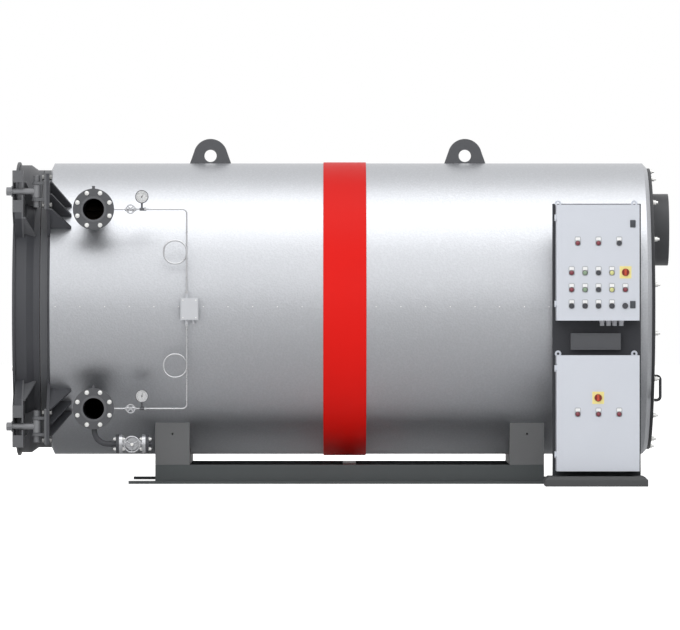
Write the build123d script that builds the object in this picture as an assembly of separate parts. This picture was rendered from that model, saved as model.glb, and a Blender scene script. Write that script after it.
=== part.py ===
from build123d import *

import os
from math import cos, radians, sin, sqrt, tan

# Industrial boiler: a lagged reverse-flame shell boiler on a skid, with its two control cabinets.
# Millimetres. X runs from the burner door (-X) to the flue end (+X), the cabinets stand on the
# -Y side, and Z goes up from the floor. The origin is on the floor, under the middle of the skid.

# Driving dimensions of the vessel
shell_r = 820            # outside of the pressure shell
floor_gap = 250          # room under the shell for the skid
axis_z = shell_r + floor_gap         # vessel axis above the floor
shell_t = 14
shell_front = -1824
shell_rear = 1840
lagging_t = 80
lagging_r = shell_r + lagging_t
lagging_front = shell_front
lagging_rear = shell_rear - 28
furnace_inset = 420      # shell radius less furnace radius
furnace_r = shell_r - furnace_inset
furnace_t = 12
furnace_drop = 230       # furnace axis below the vessel axis
furnace_rear = 1380
plate_t = 16             # both tube plates
seat = 0.3               # gap left where a curved face lies against another
through = 50             # how far a cutting tool runs past what it cuts


def rod_x(radius, x0, x1, y=0, z=0):
    """A round bar along X."""
    return Pos((x0 + x1) / 2, y, z) * Rot(0, 90, 0) * Cylinder(radius, abs(x1 - x0))


def rod_y(radius, y0, y1, x=0, z=0):
    """A round bar along Y."""
    return Pos(x, (y0 + y1) / 2, z) * Rot(90, 0, 0) * Cylinder(radius, abs(y1 - y0))


def rod_z(radius, z0, z1, x=0, y=0):
    """A round bar along Z."""
    return Pos(x, y, (z0 + z1) / 2) * Cylinder(radius, abs(z1 - z0))


def block(x0, x1, y0, y1, z0, z1):
    """A square block between two opposite corners."""
    middle = Pos((x0 + x1) / 2, (y0 + y1) / 2, (z0 + z1) / 2)
    return middle * Box(abs(x1 - x0), abs(y1 - y0), abs(z1 - z0))


def outline(points):
    return make_face(Polyline(*points, close=True))


def plate_yz(points, x0, x1):
    """A flat plate across the vessel, from its outline in y and z."""
    return extrude(Plane.YZ.offset(x0) * outline(points), x1 - x0)


def plate_xz(points, y0, y1):
    """A flat upright plate along the vessel, from its outline in x and z."""
    return extrude(Plane.XZ.offset(-y1) * outline(points), y1 - y0)


def turned(points, sweep=360):
    """A ring about the vessel axis, from its half section in x and radius."""
    return Pos(0, 0, axis_z) * revolve(outline(points), Axis.X, sweep)


def pipe_run(radius, bend, points):
    """A bar or pipe along straight runs with rounded corners."""
    path = FilletPolyline(*points, radius=bend)
    return sweep(path.location_at(0) * Circle(radius), path=path)


def hex_x(across_flats, x0, x1, y=0, z=0):
    """A hexagon bar along X, one corner up."""
    face = RegularPolygon(across_flats / 2, 6, major_radius=False)
    return extrude(Plane(origin=(x0, y, z), x_dir=(0, 1, 0), z_dir=(1, 0, 0)) * face, x1 - x0)


def upper_lower(shape):
    """The piece, and its mirror image below the vessel axis."""
    return shape, mirror(shape, about=Plane.XY.offset(axis_z))


def far_near(shape):
    """The piece, and its mirror image on the cabinet side."""
    return shape, mirror(shape, about=Plane.XZ)


def save(name, *shapes):
    """Write one sub-part: its solids side by side in one file."""
    solids = [solid for shape in shapes for solid in shape.solids()]
    whole = solids[0] if len(solids) == 1 else Compound(solids)
    export_step(whole, f"parts/{name}.step")


os.makedirs("parts", exist_ok=True)

# Nozzles: flow above and return below, both out of the cabinet side near the front
nozzle_x = -1555
nozzle_inset = 215
nozzle_h = shell_r - nozzle_inset    # above and below the vessel axis
nozzle_r = 70
nozzle_bore = 66
nozzle_face = -lagging_r - 64
nozzle_flange_r = 125
nozzle_flange_t = 24
nozzle_pcd = 210
nozzle_bolts = 8
nozzle_bolt_r = 9
nipple_r = 9
nipple_h = 16


def nozzle(level):
    """A flanged branch, set through the shell and flush with its inside."""
    z = axis_z + level * nozzle_h
    neck = rod_y(nozzle_r, nozzle_face + nozzle_flange_t, 0, nozzle_x, z)
    neck -= rod_x(shell_r - shell_t, shell_front - through, 0, 0, axis_z)
    neck = neck.solids().sort_by(Axis.Y)[0]
    flange = rod_y(nozzle_flange_r, nozzle_face, nozzle_face + nozzle_flange_t, nozzle_x, z)
    nipple_y = nozzle_face + nozzle_flange_t / 2
    rim = z + nozzle_flange_r
    branch = neck + flange + rod_z(nipple_r, rim - nipple_r, rim + nipple_h, nozzle_x, nipple_y)
    branch -= rod_y(nozzle_bore, nozzle_face - 1, 0, nozzle_x, z)
    for i in range(nozzle_bolts):
        angle = radians((i + 0.5) * 360 / nozzle_bolts)
        bolt_x = nozzle_x + nozzle_pcd / 2 * cos(angle)
        bolt_z = z + nozzle_pcd / 2 * sin(angle)
        branch -= rod_y(nozzle_bolt_r, nozzle_face - 1, nozzle_face + nozzle_flange_t + 1, bolt_x, bolt_z)
    return branch


def nozzle_holes(shape):
    """Cut the way of both nozzle necks out of a piece of the vessel wall."""
    for level in (-1, 1):
        shape -= rod_y(nozzle_r + seat, -lagging_r - through, 0, nozzle_x, axis_z + level * nozzle_h)
    return shape


save("supply_nozzle", nozzle(1))
save("return_nozzle", nozzle(-1))

# Pressure shell, open at both ends
shell_in = shell_r - shell_t
shell = turned(
    [(shell_front, shell_in), (shell_rear, shell_in), (shell_rear, shell_r), (shell_front, shell_r)]
)
save("pressure_shell", nozzle_holes(shell))

# Furnace: a plain tube with a closed rear end, below the vessel axis
furnace_z = axis_z - furnace_drop
furnace_lip = 10         # furnace and smoke tubes stand this far out of the front tube plate
front_plate_x = shell_front - plate_t
furnace_front = front_plate_x - furnace_lip
furnace = rod_x(furnace_r, furnace_front, furnace_rear, 0, furnace_z)
furnace -= rod_x(furnace_r - furnace_t, furnace_front - 1, furnace_rear - furnace_t, 0, furnace_z)
save("furnace", furnace)

# Smoke tubes, in arcs round the upper half of the furnace
tube_r = 50.8
tube_t = 4
tube_lip = 5
tube_pitch = 170
tube_row_first = furnace_r + 120     # distance of the first row from the furnace axis
tube_row_step = 165
tube_row_counts = (11, 11, 7)
smokebox_depth = 300     # from the rear tube plate's face to the shell's rear end
rear_plate_x = shell_rear - smokebox_depth
tube_front = front_plate_x - tube_lip
tube_rear = rear_plate_x + plate_t + tube_lip


def tube_centres():
    """Places of the smoke tubes, in y and z."""
    places = []
    for row, count in enumerate(tube_row_counts):
        row_r = tube_row_first + row * tube_row_step
        for i in range(count):
            angle = (i - (count - 1) / 2) * tube_pitch / row_r
            places.append((row_r * sin(angle), furnace_z + row_r * cos(angle)))
    return places


tubes = []
for tube_y, tube_z in tube_centres():
    tube = rod_x(tube_r, tube_front, tube_rear, tube_y, tube_z)
    tubes.append(tube - rod_x(tube_r - tube_t, tube_front - 1, tube_rear + 1, tube_y, tube_z))
save("smoke_tubes", *tubes)

# Tube plates
front_plate_r = shell_r + 3.7
front_plate = rod_x(front_plate_r, front_plate_x, shell_front, 0, axis_z)
front_plate -= rod_x(furnace_r + seat, front_plate_x - 1, shell_front + 1, 0, furnace_z)
rear_plate = rod_x(shell_in - seat, rear_plate_x, rear_plate_x + plate_t, 0, axis_z)
for tube_y, tube_z in tube_centres():
    front_plate -= rod_x(tube_r + seat, front_plate_x - 1, shell_front + 1, tube_y, tube_z)
    rear_plate -= rod_x(tube_r + seat, rear_plate_x - 1, rear_plate_x + plate_t + 1, tube_y, tube_z)
save("front_tube_plate", front_plate)
save("rear_tube_plate", rear_plate)

# Front ring: the heavy face that the burner door closes on
ring_r = shell_r + 39
ring_front = shell_front - 61
ring_in = front_plate_r + seat
front_ring = turned(
    [
        (ring_front, ring_in),
        (lagging_front - seat, ring_in),
        (lagging_front - seat, ring_r),
        (ring_front, ring_r),
    ]
)
save("front_ring", front_ring)

# Rear flange and the bolted cover of the rear smokebox, with the flue collar
rear_flange_r = shell_r + 50
rear_flange = turned(
    [
        (lagging_rear + seat, shell_r + seat),
        (shell_rear, shell_r + seat),
        (shell_rear, rear_flange_r),
        (lagging_rear + seat, rear_flange_r),
    ]
)
save("rear_flange", rear_flange)

cover_t = 18
cover_rear = shell_rear + cover_t
flue_r = 222
flue_t = 5
flue_h = shell_r - 330    # flue axis above the vessel axis
flue_length = 115
flue_z = axis_z + flue_h
flue_rear = cover_rear + flue_length
cover = rod_x(rear_flange_r, shell_rear, cover_rear, 0, axis_z)
cover -= rod_x(flue_r - flue_t, shell_rear - 1, cover_rear + 1, 0, flue_z)
save("rear_cover", cover)
collar = rod_x(flue_r, cover_rear, flue_rear, 0, flue_z)
collar -= rod_x(flue_r - flue_t, cover_rear - 1, flue_rear + 1, 0, flue_z)
save("flue_collar", collar)

handle_r = 9
handle_h = 165
handle_reach = 37
handle_bend = 22
handle_y = rear_flange_r - 180
handle_z = axis_z - 483
grip = handle_h / 2 - handle_r
handle = pipe_run(
    handle_r,
    handle_bend,
    [
        (cover_rear, handle_y, handle_z - grip),
        (cover_rear + handle_reach, handle_y, handle_z - grip),
        (cover_rear + handle_reach, handle_y, handle_z + grip),
        (cover_rear, handle_y, handle_z + grip),
    ],
)
save("rear_cover_handles", *far_near(handle))

# Lifting lugs, welded to the top of the shell and standing out of the lagging
lug_t = 30
lug_places = (-861, 715)
lug_eye_r = 38
lug_head_r = 105
lug_eye_h = 48           # eye centre above the lagging
lug_foot = 128           # half the width where it leaves the lagging
lug_shoulder = 95
lug_eye_z = axis_z + lagging_r + lug_eye_h
lug_neck_z = axis_z + lagging_r
lug_shoulder_z = lug_eye_z + sqrt(lug_head_r**2 - lug_shoulder**2)
lug_root_z = axis_z + sqrt(shell_r**2 - lug_t**2)
lifting_lugs = []
for lug_x in lug_places:
    foot = plate_xz(
        [
            (lug_x - lug_foot, lug_root_z),
            (lug_x + lug_foot, lug_root_z),
            (lug_x + lug_foot, lug_neck_z),
            (lug_x + lug_shoulder, lug_shoulder_z),
            (lug_x - lug_shoulder, lug_shoulder_z),
            (lug_x - lug_foot, lug_neck_z),
        ],
        -lug_t / 2,
        lug_t / 2,
    )
    lug = foot + rod_y(lug_head_r, -lug_t / 2, lug_t / 2, lug_x, lug_eye_z)
    lug -= rod_y(lug_eye_r, -lug_t, lug_t, lug_x, lug_eye_z)
    reach = lug_foot + through
    lifting_lugs.append(lug - rod_x(shell_r + seat, lug_x - reach, lug_x + reach, 0, axis_z))
save("lifting_lugs", *lifting_lugs)

# Skid: two channel beams, backs outward, on sole plates, with cross members between them
beam_inset = 330
beam_y = lagging_r - beam_inset      # outer face of each beam
beam_x = 1190            # half the length
beam_h = 100
beam_flange = 50
beam_web_t = 6
beam_flange_t = 8.5
sole_t = 16
sole_x = beam_x + 162
sole_w = 100
sole_in = beam_y - beam_flange
beam_top = sole_t + beam_h
anchor_x = sole_x - 82
anchor_r = 11
channel = [
    (beam_y, sole_t),
    (beam_y, beam_top),
    (sole_in, beam_top),
    (sole_in, beam_top - beam_flange_t),
    (beam_y - beam_web_t, beam_top - beam_flange_t),
    (beam_y - beam_web_t, sole_t + beam_flange_t),
    (sole_in, sole_t + beam_flange_t),
    (sole_in, sole_t),
]
save("skid_beams", *far_near(plate_yz(channel, -beam_x, beam_x)))
sole = block(-sole_x, sole_x, sole_in, sole_in + sole_w, 0, sole_t)
for end in (-1, 1):
    sole -= rod_z(anchor_r, -1, sole_t + 1, end * anchor_x, beam_y)
save("sole_plates", *far_near(sole))

# Saddles: hollow boxes on the beams, through the lagging, with a wear plate on the shell
saddle_outer = beam_x
saddle_w = 210
saddle_inner = saddle_outer - saddle_w
saddle_t = 10
wear_t = 12
saddle_rib_y = 190
saddle_bolt_r = 6
saddle_bolt_h = 69       # below the edge of the lagging
shell_seat_r = shell_r + seat


def saddle(end):
    x0, x1 = sorted((end * saddle_outer, end * saddle_inner))
    top = axis_z - shell_seat_r / 2
    walls = block(x0, x1, -beam_y, beam_y, beam_top, top)
    inside_y = beam_y - saddle_t
    hollow = block(x0 + saddle_t, x1 - saddle_t, -inside_y, inside_y, beam_top - 1, top + 1)
    for rib_y in (-saddle_rib_y, saddle_rib_y):
        hollow -= block(x0, x1, rib_y - saddle_t / 2, rib_y + saddle_t / 2, beam_top - 1, top + 1)
    hollow -= rod_x(shell_seat_r + wear_t, x0, x1, 0, axis_z)
    saddle_box = walls - hollow - rod_x(shell_seat_r, x0 - 1, x1 + 1, 0, axis_z)
    bolt_z = axis_z - sqrt(lagging_r**2 - beam_y**2) - saddle_bolt_h
    middle = (x0 + x1) / 2
    for side in (-1, 1):
        saddle_box -= rod_y(saddle_bolt_r, side * inside_y - side, side * beam_y + side, middle, bolt_z)
    return saddle_box


save("saddles", saddle(-1), saddle(1))

cross_w = 80
cross_web_t = 8
cross_places = (-(saddle_outer + saddle_inner) / 2, 0, (saddle_outer + saddle_inner) / 2)
cross_members = []
for cross_x in cross_places:
    beam = block(cross_x - cross_w / 2, cross_x + cross_w / 2, -sole_in, sole_in, 0, beam_top)
    for side in (-1, 1):
        x0, x1 = sorted((cross_x + side * cross_web_t / 2, cross_x + side * (cross_w / 2 + 1)))
        beam -= block(x0, x1, -sole_in - 1, sole_in + 1, beam_flange_t, beam_top - beam_flange_t)
    cross_members.append(beam)
save("skid_cross_members", *cross_members)

# Lagging jacket: front and rear, each of two halves that meet at the height of the axis
band_x = -30
band_w = 263
band_t = 8


def jacket(x0, x1, level):
    """One half of the jacket, solid from the shell to the outside of the sheet."""
    inside = shell_r + seat
    half = turned([(x0, inside), (x1, inside), (x1, lagging_r), (x0, lagging_r)], 180)
    if level < 0:
        half = mirror(half, about=Plane.XY.offset(axis_z))
        for end in (-1, 1):
            a, b = sorted((end * saddle_outer, end * saddle_inner))
            if x0 < a < x1:
                pocket_y = beam_y + seat
                half -= block(a - seat, b + seat, -pocket_y, pocket_y, 0, axis_z - shell_r / 2)
    else:
        for lug_x in lug_places:
            if x0 < lug_x < x1:
                slot_x = lug_foot + seat
                slot_y = lug_t / 2 + seat
                half -= block(
                    lug_x - slot_x, lug_x + slot_x, -slot_y, slot_y, axis_z + shell_r / 2, lug_neck_z + 1
                )
    if x0 < nozzle_x < x1:
        half = nozzle_holes(half)
    return half


save("cladding_front_upper", jacket(lagging_front, band_x, 1))
save("cladding_front_lower", jacket(lagging_front, band_x, -1))
save("cladding_rear_upper", jacket(band_x, lagging_rear, 1))
save("cladding_rear_lower", jacket(band_x, lagging_rear, -1))
band_in = lagging_r + seat
band = turned(
    [
        (band_x - band_w / 2, band_in),
        (band_x + band_w / 2, band_in),
        (band_x + band_w / 2, lagging_r + band_t),
        (band_x - band_w / 2, lagging_r + band_t),
    ]
)
save("red_band", band)

# Ear brackets: they carry the four clevises of the door, outside the lagging's front end
pin_x = shell_front - 78
pin_y = lagging_r - 15
pin_h = lagging_r - 186  # above and below the vessel axis
ear_t = 18
ear_half_w = 50
ear_half_h = 108
ear_rear = lagging_front
ear_front = ear_rear - ear_t
gusset_t = 12
ear_gusset_length = 127
ear_gusset_r = lagging_r + 210
ear_gusset_angles = (33.2, 39, 44)


def radial(angle, points, thickness=gusset_t):
    """A flat plate in a plane through the vessel axis, from its outline in x and radius."""
    face = outline(points)
    return Pos(0, 0, axis_z) * Rot(angle, 0, 0) * extrude(face, thickness / 2, both=True)


def polar(radius, angle):
    return radius * cos(radians(angle)), axis_z + radius * sin(radians(angle))


ear_outline = [
    polar(ring_r, 30),
    (pin_y + ear_half_w, axis_z + pin_h - ear_half_h),
    (pin_y + ear_half_w, axis_z + pin_h + ear_half_h),
    (pin_y - ear_half_w, axis_z + pin_h + ear_half_h),
    polar(ring_r, 48),
]
ear = plate_yz(ear_outline, ear_front, ear_rear)
ear -= rod_x(ring_r + seat, ear_front - 1, ear_rear + 1, 0, axis_z)
gusset_profile = [
    (ear_rear, lagging_r + seat),
    (ear_rear, ear_gusset_r),
    (ear_rear + gusset_t, ear_gusset_r),
    (ear_rear + ear_gusset_length, lagging_r + gusset_t),
    (ear_rear + ear_gusset_length, lagging_r + seat),
]
ear_bracket = ear
for angle in ear_gusset_angles:
    ear_bracket += radial(angle, gusset_profile)
ear_pairs = [piece for half in far_near(ear_bracket) for piece in upper_lower(half)]
save("ear_brackets", *ear_pairs)

# End caps of the lagging: coned rings, notched at the ears
cap_front = lagging_front - 16
cap_rear = lagging_rear + 26
cap_lip = 6
front_cap_r = ring_r + 1
rear_cap_r = rear_flange_r + seat
front_cap = turned(
    [
        (lagging_front, front_cap_r),
        (lagging_front, lagging_r),
        (cap_front, front_cap_r + cap_lip),
        (cap_front, front_cap_r),
    ]
)
ear_notch = offset(outline(ear_outline), amount=seat)
for notch in far_near(extrude(Plane.YZ.offset(cap_front - 5) * ear_notch, lagging_front - cap_front + 5)):
    for piece in upper_lower(notch):
        front_cap -= piece
rear_cap = turned(
    [
        (lagging_rear, rear_cap_r),
        (lagging_rear, lagging_r),
        (cap_rear, rear_cap_r + 2),
        (cap_rear, rear_cap_r),
    ]
)
save("cladding_caps", front_cap, rear_cap)

# Clevises and pins
clevis_base_t = 12
clevis_half_w = 28
clevis_gap = 41          # half the space between the arms
clevis_arm_t = 18
pin_r = 13
pin_head_r = 20
pin_head_h = 38
pin_z = axis_z + pin_h
base_front = ear_front - clevis_base_t


def on_pin(shape):
    """Move a piece modelled about its own pin to the far upper corner."""
    return Pos(pin_x, pin_y, pin_z) * shape


clevis = on_pin(
    block(base_front - pin_x, ear_front - pin_x, -ear_half_w, ear_half_w, -ear_half_h, ear_half_h)
)
pin = on_pin(rod_z(pin_r, -clevis_gap - clevis_arm_t, clevis_gap + clevis_arm_t))
for level in (-1, 1):
    arm_in = level * clevis_gap
    arm_out = level * (clevis_gap + clevis_arm_t)
    arm = rod_z(clevis_half_w, arm_in, arm_out)
    arm += block(0, base_front - pin_x, -clevis_half_w, clevis_half_w, arm_in, arm_out)
    clevis += on_pin(arm - rod_z(pin_r + seat, arm_in, arm_out))
    pin += on_pin(rod_z(pin_head_r, arm_out, level * (clevis_gap + clevis_arm_t + pin_head_h)))
save("door_clevises", *[piece for half in far_near(clevis) for piece in upper_lower(half)])
save("clevis_pins", *[piece for half in far_near(pin) for piece in upper_lower(half)])

# Eye bolts: they swing on the pins at the cabinet side, and hinge the door at the far side
eye_r = 23
eye_half_h = 38
shank_r = 18
lug_face = 148           # from the pin axis to the front face of the door's lugs
washer_r = 33
washer_t = 5
nut_flats = 50
nut_h = 30
shank_end = 185
washer_x = -lug_face - seat
nut_x = washer_x - washer_t
eye_bolt = rod_z(eye_r, -eye_half_h, eye_half_h) + rod_x(shank_r, -shank_end, 0)
eye_bolt += rod_x(washer_r, nut_x, washer_x) + hex_x(nut_flats, nut_x - nut_h, nut_x)
eye_bolt -= rod_z(pin_r + seat, -eye_half_h - 1, eye_half_h + 1)
far_bolts = upper_lower(on_pin(eye_bolt))
near_bolts = upper_lower(mirror(on_pin(eye_bolt), about=Plane.XZ))
save("far_hinge_bolts", *far_bolts)
save("swing_bolt_upper", near_bolts[0])
save("swing_bolt_lower", near_bolts[1])

# Burner door: a dished steel casing with a refractory lining
door_front = shell_front - 228
door_plate_t = 17
door_skirt_r = ring_r + 31
door_r = door_skirt_r + 19
door_wall = 14
skirt_cone_x = shell_front - 144
skirt_end_x = skirt_cone_x + 43
door_rear = ring_front - 2
plate_rear = door_front + door_plate_t
burner_z = furnace_z
burner_bore_r = 140
burner_hole_r = burner_bore_r + 10
lug_y0 = pin_y - 45
lug_y1 = pin_y + 45
lug_half_h = 127
ear_low_in = 185         # the ears' roots, inward of the pins and below them
ear_low_drop = 234
ear_high_in = 325
ear_high_drop = 14
ear_low = (pin_y - ear_low_in, pin_z - ear_low_drop)
ear_high = (pin_y - ear_high_in, pin_z - ear_high_drop)
door_ear = [
    ear_low,
    (lug_y0, pin_z - lug_half_h),
    (lug_y0, pin_z + lug_half_h),
    ear_high,
]
door_plate = rod_x(door_r, door_front, plate_rear, 0, axis_z)
for ear_side in far_near(plate_yz(door_ear, door_front, plate_rear)):
    for ear_piece in upper_lower(ear_side):
        door_plate += ear_piece
door_plate -= rod_x(burner_hole_r, door_front - 1, plate_rear + 1, 0, burner_z)
save("door_plate", door_plate)
barrel = turned(
    [
        (plate_rear, door_skirt_r),
        (skirt_cone_x, door_skirt_r),
        (skirt_end_x, ring_r),
        (door_rear, ring_r),
        (door_rear, ring_r - door_wall),
        (skirt_end_x, ring_r - door_wall),
        (skirt_cone_x, door_skirt_r - door_wall),
        (plate_rear, door_skirt_r - door_wall),
    ]
)
save("door_barrel", barrel)

# Refractory lining with a turning space for the gas, and a raised throat round the burner
lining_land = door_rear - 10
lining_floor = lining_land - 63
lining_land_r = ring_r - 59
throat_r = burner_hole_r + 10
throat_wall = 70
throat_rear = door_rear + 7
lining_r = door_skirt_r - door_wall - seat
lining_neck_r = ring_r - door_wall - seat
lining = turned(
    [
        (plate_rear, 0),
        (plate_rear, lining_r),
        (skirt_cone_x, lining_r),
        (skirt_end_x, lining_neck_r),
        (lining_land, lining_neck_r),
        (lining_land, lining_land_r),
        (lining_floor, lining_land_r - (lining_land - lining_floor)),
        (lining_floor, 0),
    ]
)
lining += rod_x(throat_r + throat_wall, lining_floor - 1, throat_rear, 0, burner_z)
lining -= rod_x(throat_r, plate_rear - 1, throat_rear + 1, 0, burner_z)
save("door_lining", lining)
gasket_w = 20
gasket = turned(
    [
        (lining_land, lining_neck_r - 1),
        (ring_front - seat, lining_neck_r - 1),
        (ring_front - seat, lining_neck_r - 1 - gasket_w),
        (lining_land, lining_neck_r - 1 - gasket_w),
    ]
)
save("door_gasket", gasket)

# Burner plate: a machined ring on the door for the burner's flange
burner_plate_r = 260
burner_plate_t = 20
burner_pcd = 400
burner_bolts = 4
burner_bolt_r = 9
burner_face = door_front - burner_plate_t
burner_plate = rod_x(burner_plate_r, burner_face, door_front, 0, burner_z)
burner_plate -= rod_x(burner_bore_r, burner_face - 1, door_front + 1, 0, burner_z)
for i in range(burner_bolts):
    angle = radians((i + 0.5) * 360 / burner_bolts)
    bolt_y = burner_pcd / 2 * cos(angle)
    bolt_z = burner_z + burner_pcd / 2 * sin(angle)
    burner_plate -= rod_x(burner_bolt_r, burner_face - 1, door_front + 1, bolt_y, bolt_z)
save("burner_plate", burner_plate)

# Lugs of the door: a block with a slot for the bolt, open outward, and gussets back to the skirt
lug_rear = skirt_cone_x - 15
lug_rear_t = 9
lug_front_t = 7
window_half_h = 53.5
slot_half = 21
relief_angles = (2, 10, 18)     # corners of the front face, rounded off to let the nut swing out
gusset_gap = 2           # weld gap under the gussets
door_gusset_r = door_skirt_r + 185
door_gusset_angles = (31, 46)
lug_front = pin_x - lug_face
door_lug = block(lug_front, lug_rear, lug_y0, lug_y1, pin_z - lug_half_h, pin_z + lug_half_h)
rear_ear = [
    (pin_y - 115, pin_z - 284),
    (lug_y1, pin_z - 166),
    (lug_y1, pin_z + lug_half_h),
    (lug_y0, pin_z + lug_half_h),
    ear_high,
]
rear_wall = plate_yz(rear_ear, lug_rear - lug_rear_t, lug_rear)
door_lug += rear_wall - rod_x(door_skirt_r + seat, lug_front, lug_rear + 1, 0, axis_z)
door_lug -= block(
    lug_front + lug_front_t,
    lug_rear - lug_rear_t,
    lug_y0 - 1,
    lug_y1 + 1,
    pin_z - window_half_h,
    pin_z + window_half_h,
)
door_lug -= block(
    lug_front - 1,
    lug_rear + 1,
    pin_y - slot_half,
    lug_y1 + 1,
    pin_z - slot_half,
    pin_z + slot_half,
)
relief = [(-lug_face, lug_face * tan(radians(relief_angles[0])))]
for angle in relief_angles[1:]:
    relief.append((-lug_face * cos(radians(angle)), lug_face * sin(radians(angle))))
relief.append((-lug_face - 1, relief[-1][1]))
relief.append((-lug_face - 1, relief[0][1]))
door_lug -= on_pin(extrude(outline(relief), lug_half_h + 1, both=True))
door_gusset = [
    (lug_rear, door_skirt_r + gusset_gap),
    (lug_rear, door_gusset_r),
    (lug_rear + gusset_t, door_gusset_r),
    (skirt_end_x + gusset_t, ring_r + gusset_t),
    (skirt_end_x + gusset_t, ring_r + gusset_gap),
    (skirt_end_x, ring_r + gusset_gap),
    (skirt_cone_x, door_skirt_r + gusset_gap),
]
for angle in door_gusset_angles:
    door_lug += radial(angle, door_gusset)
save("door_lugs", *[piece for half in far_near(door_lug) for piece in upper_lower(half)])

# Drain: a bend from the return neck to a globe valve, between flanges, with a handwheel
drain_x = nozzle_x + 3
drain_y = -lagging_r
drain_fall = 215         # drain line below the return branch
drain_z = axis_z - nozzle_h - drain_fall
drain_r = 17
drain_bore = 13.5
drain_bend = 85
drain_flange_r = 57.5
drain_flange_t = 19
valve_x = drain_x + 232
valve_half = 80
valve_flange_t = 20
drain_pcd = 85
drain_bolts = 4
drain_bolt_r = 7
drain_stub = 40
neck_low = axis_z - nozzle_h - sqrt(nozzle_r**2 - (drain_x - nozzle_x) ** 2)
valve_left = valve_x - valve_half
valve_right = valve_x + valve_half


def flange_bolts(x0, x1):
    """The bolt holes of a drain flange."""
    holes = []
    for i in range(drain_bolts):
        angle = radians((i + 0.5) * 360 / drain_bolts)
        hole_y = drain_y + drain_pcd / 2 * cos(angle)
        hole_z = drain_z + drain_pcd / 2 * sin(angle)
        holes.append(rod_x(drain_bolt_r, x0 - 1, x1 + 1, hole_y, hole_z))
    return holes


flange_left = valve_left - seat - drain_flange_t
route = [(drain_x, drain_y, neck_low + 5), (drain_x, drain_y, drain_z), (flange_left, drain_y, drain_z)]
drain_pipe = pipe_run(drain_r, drain_bend, route)
drain_pipe += rod_x(drain_flange_r, flange_left, valve_left - seat, drain_y, drain_z)
drain_pipe -= pipe_run(drain_bore, drain_bend, route)
drain_pipe -= rod_x(drain_bore, flange_left - 1, valve_left, drain_y, drain_z)
for hole in flange_bolts(flange_left, valve_left):
    drain_pipe -= hole
drain_pipe -= rod_y(nozzle_r + seat, drain_y - through, drain_y + through, nozzle_x, axis_z - nozzle_h)
save("drain_pipe", drain_pipe)

outlet_x = valve_right + seat
outlet_end = outlet_x + drain_flange_t + drain_stub - drain_flange_t
drain_outlet = rod_x(drain_flange_r, outlet_x, outlet_x + drain_flange_t, drain_y, drain_z)
drain_outlet += rod_x(drain_r, outlet_x, outlet_end, drain_y, drain_z)
drain_outlet -= rod_x(drain_bore, outlet_x - 1, outlet_end + 1, drain_y, drain_z)
for hole in flange_bolts(outlet_x, outlet_x + drain_flange_t):
    drain_outlet -= hole
save("drain_outlet", drain_outlet)

valve_body_r = 40
bonnet_r = 27
bonnet_flange_r = 38
bonnet_face = drain_y - 55
yoke_top = bonnet_face - 51
yoke_arm = 7
yoke_half = 22
wheel_y = yoke_top - 24
wheel_r = 47
wheel_bar_r = 5
wheel_hub_r = 12
spoke_half = 3.5
stem_r = 7
stem_end = wheel_y - 13
valve_body = Pos(valve_x, drain_y, drain_z) * Sphere(valve_body_r)
valve_body += rod_x(drain_r + 6, valve_left, valve_right, drain_y, drain_z)
for x0, x1 in ((valve_left, valve_left + valve_flange_t), (valve_right - valve_flange_t, valve_right)):
    valve_body += rod_x(drain_flange_r, x0, x1, drain_y, drain_z)
    for hole in flange_bolts(x0, x1):
        valve_body -= hole
valve_body += rod_y(bonnet_r, bonnet_face, drain_y, valve_x, drain_z)
valve_body += rod_y(bonnet_flange_r, bonnet_face, bonnet_face + 14, valve_x, drain_z)
for side in (-1, 1):
    arm_x = valve_x + side * yoke_half
    valve_body += block(
        arm_x - yoke_arm / 2, arm_x + yoke_arm / 2, yoke_top, bonnet_face, drain_z - 8, drain_z + 8
    )
valve_body += block(
    valve_x - yoke_half - yoke_arm / 2,
    valve_x + yoke_half + yoke_arm / 2,
    yoke_top,
    yoke_top + 10,
    drain_z - 9,
    drain_z + 9,
)
valve_body += rod_y(stem_r, stem_end, bonnet_face, valve_x, drain_z)
save("drain_valve", valve_body)

wheel = rod_y(wheel_r + wheel_bar_r, wheel_y - wheel_bar_r, wheel_y + wheel_bar_r, valve_x, drain_z)
wheel -= rod_y(wheel_r - wheel_bar_r, wheel_y - 2 * wheel_bar_r, wheel_y + 2 * wheel_bar_r, valve_x, drain_z)
hub_half = 9
wheel += rod_y(wheel_hub_r, wheel_y - hub_half, wheel_y + hub_half, valve_x, drain_z)
for i in range(3):
    spoke = block(0, wheel_r, -spoke_half, spoke_half, -spoke_half, spoke_half)
    wheel += Pos(valve_x, wheel_y, drain_z) * Rot(0, 90 + 120 * i, 0) * spoke
wheel -= rod_y(stem_r + seat, wheel_y - 2 * hub_half, wheel_y + 2 * hub_half, valve_x, drain_z)
save("drain_handwheel", wheel)

# Impulse lines: thin tubes from both necks to a differential pressure transmitter
line_r = 5
line_y = -lagging_r - 25
line_bend = 25
line_x = nozzle_x + 565
loop_h = 345             # loop centre above and below the vessel axis
loop_half = 70
loop_bend = 66
loop_shift = 12
box_half_h = 68
box_x0 = line_x - 37
box_x1 = line_x + 71
box_y0 = -lagging_r - 75
box_y1 = -lagging_r - 5
line_start = nozzle_x + nozzle_r + seat


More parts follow.
